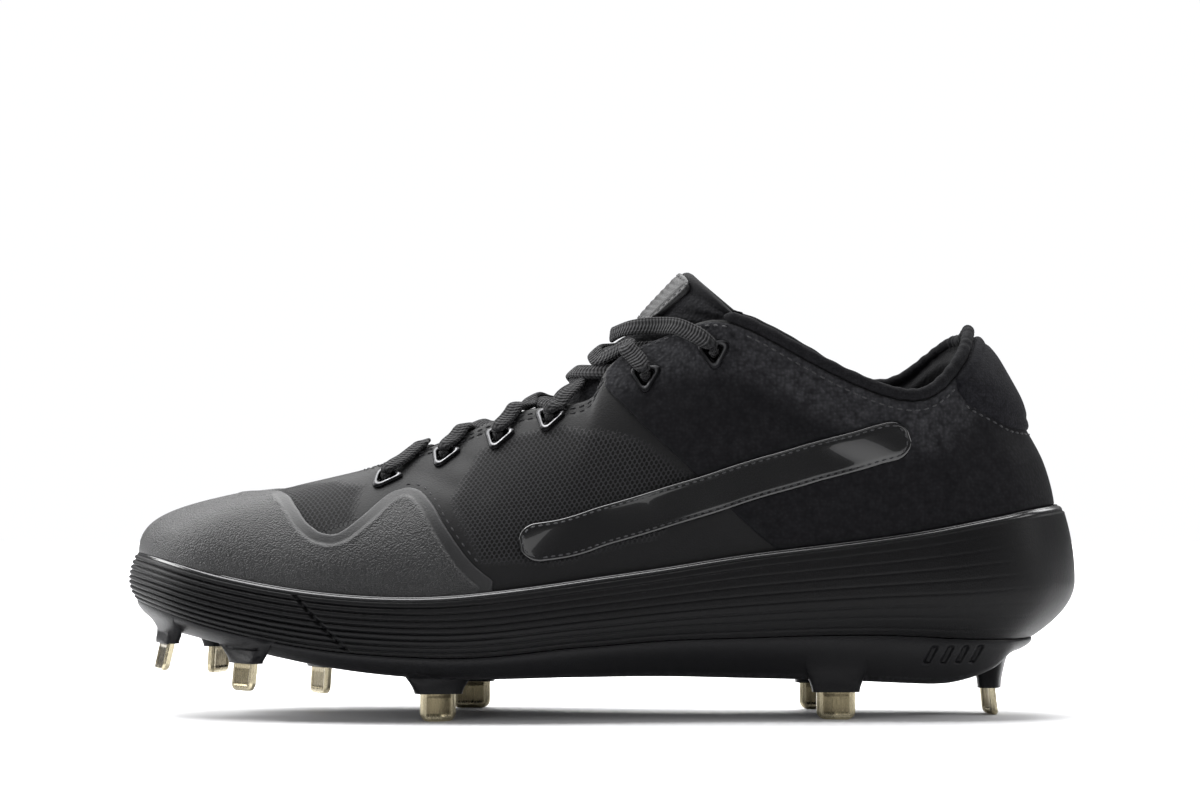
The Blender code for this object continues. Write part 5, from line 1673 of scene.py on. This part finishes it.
def makeMidsole():
    # the cup's floor and wall, the rim, the grooved sidewall and its lower edge
    count = midsole["columns"]
    places = loopPlaces(count, 2.5, 3.6, 5)
    rim, floor = soleZ("rim", places), soleZ("floor", places)
    cup = cupInset(places)
    rings = [outlineRing(places, cup + shoe["tuck"] - 1.0, floor)]
    for height in (-0.75, -0.5, -0.25, 0.0):
        base, _, _, normal = wallSlopes(places, height)
        rings.append(base + normal * shoe["gap"])
    lip = shoe["flare"] * soleShare("rimInset", places)
    edge, bulge = soleZ("edge", places), soleZ("bulge", places)
    edgeInset = shoe["flare"] * soleShare("edgeInset", places)
    width = np.maximum(cup - lip, 0.5)
    bead = np.minimum(midsole["bead"], width * 0.7)
    # the rim: level, then a quarter circle down into the sidewall
    rings.append(outlineRing(places, lip + width * 0.93, rim + 0.25))
    rings.append(outlineRing(places, lip + bead * 1.1, rim + 0.35))
    for a in np.linspace(math.pi / 2, 0, 7):
        inset = lip + bead * (1 - math.cos(a))
        rings.append(outlineRing(places, inset, rim - bead * (1 - math.sin(a))))
    # grooves lie at even shares; each is a bell whose width is held in millimetres
    depth = throughLoop(bothSides(midsole["grooveDepth"]), places)
    grooves = (np.arange(midsole["grooves"]) + 0.85) / (midsole["grooves"] + 0.5)
    # the mould line: distance to a slanting stretch between two spots of the side view
    x = soleOutline(places)[0][:, 0]
    (ax, az), (bx, bz) = midsole["seamFrom"], midsole["seamTo"]
    squared = (bx - ax) ** 2 + (bz - az) ** 2
    for share in np.linspace(0, 1, midsole["rowsSide"])[1:]:
        z = rim - bead + (edge - rim + bead) * share
        over = np.clip((z - bulge) / (rim - bulge), 0, 1)
        under = np.clip((bulge - z) / (bulge - edge), 0, 1)
        far = abs(share - grooves).min() * (rim - edge)
        groove = depth * bell(far, midsole["grooveWidth"])
        f = np.clip(((x - ax) * (bx - ax) + (z - az) * (bz - az)) / squared, 0, 1)
        off = np.hypot(x - ax - f * (bx - ax), z - az - f * (bz - az))
        seam = midsole["seamDepth"] * bell(off, midsole["seamWidth"]) * (places < heel)
        inset = lip * over**2 + edgeInset * under**2 + groove + seam
        rings.append(outlineRing(places, inset, z))
    rings.append(outlineRing(places, edgeInset + 3.0, edge + 0.1))
    # painted highlight: the rim bead's rows get the full edge mask, which lightens them in patches;
    # the same mask smooths their grain
    edgeMask = np.zeros((len(rings), count))
    edgeMask[midsole["rimRows"]] = 1.0
    rowMaterial = np.zeros(len(rings) - 1, int)
    rowMaterial[midsole["rimRows"]] = 1
    piece = ringPiece(
        "midsole_body", rings, [look["foam"], look["rim"]],
        masks={"edge": edgeMask, "smooth": edgeMask}, crease=60, rowMaterial=rowMaterial,
    )
    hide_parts("midsole")


plate = {
    "columns": 760,
    "step": 0.7,  # set in under the sidewall
    "corner": 2.2,  # rounding between its side and its underside
    "ribPitch": 13.0,
    "ribDepth": 0.9,
    "railDepth": 0.8,
    "vents": [103.5, 109.3, 115.0, 120.5],  # x of the slanted slots at the heel
    "ventHeight": 20.4,
    "ventDepth": 1.1,
    "ventSlant": 0.55,
    "rows": 34,
    "across": 48,
}


def plateRelief(points):
    # underside: cross grooves under the toes and the ball, two long rails under the arch and
    # dots under the heel, all fading towards the border; nothing stands below the plate's level
    x, y = points[..., 0], points[..., 1]
    across = np.linspace(0, 1, points.shape[0])[:, None]
    border = softSteps(np.minimum(across, 1 - across), 0.03, 0.14)
    front = softSteps(x, -20, -45) * softSteps(x, -138, -125)
    wave = (x + 6 * np.cos(y / 14)) / plate["ribPitch"] * 2 * math.pi
    cross = front * plate["ribDepth"] * softSteps(np.cos(wave), 0.55, 0.9)
    middle = softSteps(x, -25, 5) * softSteps(x, 82, 55)
    rails = middle * plate["railDepth"] * (1 - bell(abs(y) - 11, 4.2))
    rear = softSteps(x, 60, 80) * softSteps(x, 128, 112)
    chequer = np.cos((x + y) / 8 * math.pi) * np.cos((x - y) / 8 * math.pi)
    dots = rear * plate["ribDepth"] * softSteps(chequer, 0.25, 0.55)
    return (cross + rails + dots) * border


def plateSide(places, z):
    # inset of the plate's side at heights z: a shallow cove, then a quarter circle into the
    # underside; above the plate the side stands straight
    edge, bottom = soleZ("edge", places) - shoe["gap"], soleZ("plate", places)
    wide = shoe["flare"] * soleShare("edgeInset", places) + plate["step"]
    narrow = shoe["flare"] * soleShare("plateInset", places) + plate["step"]
    share = np.clip((edge - z) / (edge - bottom), 0, 1)
    arms = [wide, 0.9 * wide + 0.1 * narrow - 1.4, 0.2 * wide + 0.8 * narrow - 0.6, narrow]
    turn = plate["corner"] * 0.8 * (1 - quarterRound((z - bottom) / plate["corner"]))
    return bezier([arm[:, None] for arm in arms], share)[:, 0] + turn


def makePlate():
    # the tray: rings down its side, with slanted slots at the heel, and the relief underneath
    count = plate["columns"]
    places = loopPlaces(count, 11.0, 12.9, 4)
    edge, bottom = soleZ("edge", places) - shoe["gap"], soleZ("plate", places)
    wide = plateSide(places, edge)
    x = soleOutline(places)[0][:, 0]
    rings = [outlineRing(places, wide + 6, edge - 0.1), outlineRing(places, wide + 0.5, edge)]
    for share in np.linspace(0, 1, plate["rows"]):
        z = edge + (bottom - edge) * share
        rise = z - plate["ventHeight"]
        off = [abs(x - vent - rise * plate["ventSlant"]) for vent in plate["vents"]]
        slots = sum(softSteps(far, 1.5, 0.7) for far in off) * softSteps(abs(rise), 2.9, 2.2)
        rings.append(outlineRing(places, plateSide(places, z) + plate["ventDepth"] * slots, z))
    edgeMask = np.zeros((len(rings), count))
    edgeMask[-5:] = 1.0
    piece = ringPiece(
        "plate_body", rings, [look["plate"]], capLast=plateRelief, masks={"edge": edgeMask},
        capMask=0.35, crease=55, acrossCount=plate["across"],
    )
    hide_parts("outsole")


spikes = {
    "name": ["toe", "toe_medial", "toe_lateral", "joint_medial", "ball_lateral", "ball_medial",
             "heel_medial", "heel_lateral", "heel_back"],
    "along": [0.0453, 0.0933, 0.131, 0.2003, 0.332, 0.3617, 0.732, 0.745, 0.913],
    "across": [-0.115, 0.192, -0.298, 0.346, -0.356, 0.327, 0.25, -0.264, 0.0],
    "tip": [0.221, 0.183, 0.14, 0.067, 0, 0, 0, 0, 0],
    "turn": [-72, 64, -54, -61, 12, -10, 8, 3, 84],
    "tilt": [13, 4, 6, 4, 0, 0, 0, 0, -6],
    "bend": [0, 0, 0, 0, 1, -1, 1, -1, 1],
    "lean": [0.0, 0.2, 0.6, 0.7, 1.0, 1.0, 1.0, 1.0, 0.0],
    "length": 8.6,
    "root": 4.0,
    "width": 11.8,
    "thick": 2.4,
    "bow": 3.2,  # how far the bent end stands back
    "round": 2.6,  # radius of the tip's corners
    "chamfer": 0.6,
    "panel": 0.22,  # depth of the sunk field
    "lugMargin": 1.5,
    "lugSpread": 7.0,
    "lugProud": 1.6,  # how far a lug's foot may stand out past the plate's side
    "lugTop": [0.85, 0.66, 0.85, 0.66, 0.66, 0.66, 0.66, 0.66, 0.66],  # share of the plate's side
}


def spikeFrame(k):
    turn = math.radians(spikes["turn"][k])
    centre = np.array([
        (spikes["along"][k] - 0.5) * shoe["length"],
        spikes["across"][k] * shoe["ballWidth"],
        spikes["tip"][k] * shoe["soleHeight"],
    ])
    across = np.array([math.cos(turn), math.sin(turn), 0.0])
    facing = np.array([-across[1], across[0], 0.0])
    return centre, across, facing


def makeSpikes():
    # a blade: width and height are the grid, the bow pushes one end back, and its thickness
    # falls to a chamfer at the border and into a shallow field inside a frame
    shares = np.sin(np.linspace(-0.5, 0.5, 41) * math.pi)
    levels = np.concatenate([np.linspace(0, 1, 26) ** 1.3 * spikes["length"],
                             [spikes["length"] + spikes["root"]]])
    for k, name in enumerate(spikes["name"]):
        centre, across, facing = spikeFrame(k)
        inward = -1.0 if spikes["across"][k] > 0 else 1.0
        slope = math.tan(math.radians(spikes["tilt"][k]))
        share, level = np.meshgrid(shares, levels)
        corner = np.clip(1 - level / spikes["round"], 0, 1)
        half = spikes["width"] / 2 - spikes["round"] * (1 - np.sqrt(1 - corner**2))
        x = share * half
        turned = x / (spikes["width"] / 2) * spikes["bend"][k]
        bow = spikes["bow"] * inward * softSteps(turned, -0.1, 1.15) * 1.12
        bow = bow * abs(spikes["bend"][k])
        border = np.minimum(half - abs(x), level)
        thick = spikes["thick"] / 2 - spikes["chamfer"] * np.clip(1 - border / 0.8, 0, 1)
        fromFoot = spikes["length"] - level
        field = softSteps(border, 1.7, 2.1) * softSteps(fromFoot, 0.6, 1.2)
        edge = np.clip(softSteps(border, 2.0, 1.6) * 0.6 + softSteps(border, 0.9, 0.5), 0, 1)
        middle = (
            centre
            + across * x[..., None]
            + facing * bow[..., None]
            + np.stack([slope * (level - spikes["length"]), 0 * level, level], -1)
        )
        push = facing * (thick - spikes["panel"] * field)[..., None]
        piece = shellPiece(
            f"spike_blade_{name}", middle + push, middle - push, [look["steel"]],
            masks={"edge": edge}, crease=32,
        )
        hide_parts(f"spike_{name}")


def makeLugs():
    # tapered blocks: superellipse sections from the blade up into the plate, spreading with
    # the 1.5th power of the height and leaning out to the plate's side
    sides, count = 40, 18
    angle = (np.arange(sides) + 0.5) * 2 * math.pi / sides
    c, s = superCircle(angle, 0.55)
    loop = np.linspace(0, around, 1201)
    outlinePoints, outlineNormals = soleOutline(loop)
    for k, name in enumerate(spikes["name"]):
        centre, across, facing = spikeFrame(k)
        far = np.hypot(outlinePoints[:, 0] - centre[0], outlinePoints[:, 1] - centre[1])
        n = int(np.argmin(far))
        place = loop[n : n + 1]
        bottom, edge = float(soleZ("plate", place)[0]), float(soleZ("edge", place)[0])
        side = float(shoe["flare"] * soleShare("plateInset", place)[0])
        top = bottom + spikes["lugTop"][k] * (edge - bottom)
        foot = centre[2] + spikes["length"]
        bowed = 0.3 * spikes["bow"] * abs(spikes["bend"][k])
        thin = spikes["thick"] / 2 + bowed + spikes["lugMargin"]
        shift = spikes["lean"][k] * max(0.0, far[n] - side - thin - spikes["lugSpread"] / 2)
        outward = np.array([*outlineNormals[n], 0.0])
        inward = -1.0 if spikes["across"][k] > 0 else 1.0
        rows = []
        for f in np.concatenate([[0.0, 0.0], np.linspace(0, 1, count)]):
            grow = spikes["lugSpread"] * f**1.5
            middle = centre + outward * shift * f + facing * bowed * inward
            rim = 0.6 if len(rows) == 0 else 0.0
            reach = c * (spikes["width"] / 2 + spikes["lugMargin"] + grow - rim)
            depth = s * (thin + grow / 2 - rim)
            ring = middle + np.outer(reach, across) + np.outer(depth, facing)
            ring[:, 2] = foot + (top - foot) * f + (0.6 if len(rows) == 1 else 0.0)
            # keep it inside the plate's side, which it may pass by less and less on its way up,
            # and round the blade as far as that reaches
            apart = ring[:, None, :2] - outlinePoints[None]
            nearest = np.argmin((apart**2).sum(-1), axis=1)
            inside = -(apart[np.arange(sides), nearest] * outlineNormals[nearest]).sum(-1)
            least = plateSide(loop[nearest], ring[:, 2]) - spikes["lugProud"] * (1 - f) ** 1.7
            own = ring[:, :2] - centre[:2]
            beside = abs(own @ across[:2]) - spikes["width"] / 2
            before = abs(own @ facing[:2] - 1.9 * bowed * inward)
            before = before - 1.9 * bowed - spikes["thick"] / 2
            slack = np.clip(np.maximum(beside, before) - 0.5, 0, None)
            past = softSteps(ring[:, 2] - foot, spikes["root"], spikes["root"] + 1.5)
            push = np.clip(least - inside, 0, None) * softSteps(f, 0.0, 0.9)
            ring[:, :2] -= np.minimum(push, slack + 40 * past)[:, None] * outlineNormals[nearest]
            rows.append(ring)
        piece = tubePiece(f"plate_lug_{name}", np.stack(rows), look["plate"], crease=45)
        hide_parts("outsole")


makeMidsole()
makePlate()
makeSpikes()
makeLugs()
print("sole ready")


# footbed

footbed = {"thick": 4.0, "columns": 300, "crown": 1.2}


def makeFootbed():
    places = np.arange(footbed["columns"]) * around / footbed["columns"]
    clear = cupInset(places) + shoe["wall"] + 2 * shoe["gap"]
    floor = soleZ("floor", places) + shoe["gap"]
    rings = [outlineRing(places, clear + shoe["tuck"], floor)]
    for f in np.linspace(0, 1, 8):
        inset = clear + shoe["tuck"] * (1 - 0.65 * f)
        rings.append(outlineRing(places, inset, floor + footbed["thick"] * f))
    top = floor + footbed["thick"] + 0.15
    rings.append(outlineRing(places, clear + shoe["tuck"] * 0.35 + 1.2, top))

    def dish(points):
        across = np.linspace(0, 1, points.shape[0])[:, None] + 0 * points[..., 0]
        return -footbed["crown"] * np.sin(across * math.pi) ** 2

    piece = ringPiece(
        "footbed_pad", rings, [look["lining"]], capLast=dish, crease=60, acrossCount=24,
        masks={"smooth": np.zeros((len(rings), footbed["columns"]))},
    )
    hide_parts("insole")


makeFootbed()


# stitching


def besideEdge(places, edge, distance, offset, at=None):
    # a path that keeps its distance from an edge of the wall, above it or, negative, below it
    climb = lengths(wallSlopes(places, edge if at is None else at)[2])
    heights = edge + distance / climb
    return onWall(places, heights, offset), wallSlopes(places, heights)[3]


def belowTop(fromPlace, toPlace, distance, offset, count=300):
    return besideEdge(np.linspace(fromPlace, toPlace, count), 1, -distance, offset, at=0.97)


def throatPaths():
    return [belowTop(*ends, distance, -0.12) for distance in upperLook["seams"]
            for ends in ((0.4, 6.9), (around - 6.9, around - 0.4))]


def collarPaths():
    level = quarterPanel["thick"] + 0.05
    return [belowTop(9.2, around - 9.2, 3.2, level, 900), belowTop(7.25, 9.0, 2.4, level, 120),
            belowTop(around - 9.0, around - 7.25, 2.4, level, 120)]


def capPaths():
    paths = []
    for places in (np.linspace(3.5, 4.95, 200), around - np.linspace(3.5, 4.95, 200)):
        edge = throughRows(fromToe(places), toeCap["place"], toeCap["high"])
        paths.append(besideEdge(places, edge, 2.2, -0.05))
    return paths


def padPaths():
    start = heelPad["place"][0] + 0.1
    places = np.linspace(start, around - start, 300)
    low = throughRows(fromToe(places), heelPad["place"], heelPad["low"])
    return [besideEdge(places, low, -1.6, quarterPanel["thick"] + 0.1)]


def bandPaths():
    # once round the band: along one border, a half circle, back, a half circle
    paths, radius = [], sideBand["width"] / 2
    turn = np.linspace(-math.pi / 2, math.pi / 2, 40)
    for side in (-1, 1):
        total = bandSpots(np.array([0.5]), side)[2]
        for row in sideBand["stitchRows"]:
            half = radius - row
            straight = np.linspace(radius / total, 1 - radius / total, 200)
            share = np.concatenate([straight, 1 - (radius - half * np.cos(turn)) / total,
                                    straight[::-1], (radius - half * np.cos(turn[::-1])) / total])
            across = np.concatenate([np.full(200, -half), half * np.sin(turn),
                                     np.full(200, half), half * np.sin(turn[::-1])])
            base, normal, ground = bandBase(side, share, across)
            line = base + normal * (ground + sideBand["thick"] - 0.12)[:, None]
            paths.append((line, normal))
    return paths


def labelPaths():
    # once round the label, a little inside its border
    low, high = label["rows"]
    middle, tall = (low + high) / 2, (high - low) / 2 * label["inset"]
    wide = label["sides"] * label["inset"]
    there, ones = 2 * np.linspace(0, 1, 60) - 1, np.ones(60)
    rows = middle + tall * np.concatenate([there, ones, -there, -ones])
    sides = wide * np.concatenate([-ones, there, ones, -there])
    line = offTongue(rows, sides, label["lift"] + label["thick"] - 0.2)
    return [(line, tongueNormal(rows, sides))]


stitches = {  # paths, then each dash's length, pitch, width and height
    "throat": (throatPaths, 1.9, 2.8, 0.62, 0.36),
    "collar": (collarPaths, 1.9, 2.9, 0.62, 0.34),
    "cap": (capPaths, 1.7, 3.2, 0.55, 0.3),
    "pad": (padPaths, 1.9, 2.9, 0.62, 0.34),
    "band": (bandPaths, 1.6, 2.4, 0.6, 0.34),
    "label": (labelPaths, 1.5, 2.3, 0.55, 0.3),
}


def makeStitches():
    for name, (paths, *sizes) in stitches.items():
        stitchPiece(f"{name}_stitching", paths(), *sizes)


makeStitches()
print("stitching ready")


# floor, light and camera

studio = {
    "floor": (-1.7, 1.7, -1.1, 1.5),  # metres: left, right, near and far edge
    "distance": 2.0,
    "eyeHeight": 0.127,
    "lens": 189.6,
    "fill": 0.22,
    "pitch": 0.79,  # degrees down
    "shiftX": -0.0003,
}


def makeStage():
    left, right, near, far = studio["floor"]
    mesh = bpy.data.meshes.new("floor")
    corners = [(left, near, 0), (right, near, 0), (right, far, 0), (left, far, 0)]
    mesh.from_pydata(corners, [], [(0, 1, 2, 3)])
    mesh.materials.append(look["floor"])
    floor = bpy.data.objects.new("floor", mesh)
    bpy.context.scene.collection.objects.link(floor)


lamps = {  # place, what it points at, size and watts
    "overhead": ((-0.15, 0.35, 1.5), (-0.03, 0.0, 0.05), (1.6, 1.2), 48),
    "behind": ((0.0, 1.35, 1.1), (0.0, 1.2, 0.0), (3.0, 0.8), 34),
    "toeSide": ((-1.3, 0.35, 0.8), (-0.1, 0, 0.05), (0.9, 0.9), 25),
    "heelSide": ((1.4, -0.2, 0.7), (0.1, 0, 0.05), (0.7, 0.9), 7),
    "front": ((-0.3, -1.9, 0.9), (0, 0, 0.05), (1.4, 0.7), 4),
}


def makeLights():
    for name, (place, target, size, energy) in lamps.items():
        data = bpy.data.lights.new(name, "AREA")
        data.shape = "RECTANGLE"
        data.size, data.size_y = size
        data.energy = energy
        light = bpy.data.objects.new(name, data)
        light.location = place
        way = Vector(target) - Vector(place)
        light.rotation_euler = way.to_track_quat("-Z", "Y").to_euler()
        bpy.context.scene.collection.objects.link(light)
    world = bpy.data.worlds.new("studio")
    bpy.context.scene.world = world
    world.use_nodes = True
    tree = world.node_tree
    back = tree.nodes["Background"]
    back.inputs["Color"].default_value = (0.98, 0.985, 1.0, 1)
    # white to the eye, dimmer as a light
    seen = tree.nodes.new("ShaderNodeLightPath").outputs["Is Camera Ray"]
    tree.links.new(mixNumber(tree, seen, studio["fill"], 1.02), back.inputs["Strength"])


def makeCamera():
    data = bpy.data.cameras.new("camera")
    data.lens = studio["lens"]
    data.sensor_width = 36
    data.clip_start, data.clip_end = 0.05, 60
    camera = bpy.data.objects.new("camera", data)
    camera.location = (studio["shiftX"], -studio["distance"], studio["eyeHeight"])
    camera.rotation_euler = (math.radians(90 - studio["pitch"]), 0, 0)
    bpy.context.scene.collection.objects.link(camera)
    bpy.context.scene.camera = camera


makeStage()
makeLights()
makeCamera()
bpy.context.scene.view_settings.view_transform = "Standard"

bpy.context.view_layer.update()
triangles = sum(len(p.data.loops) - 2 * len(p.data.polygons) for p in pieces.values())
print("pieces", len(pieces), "triangles", triangles)
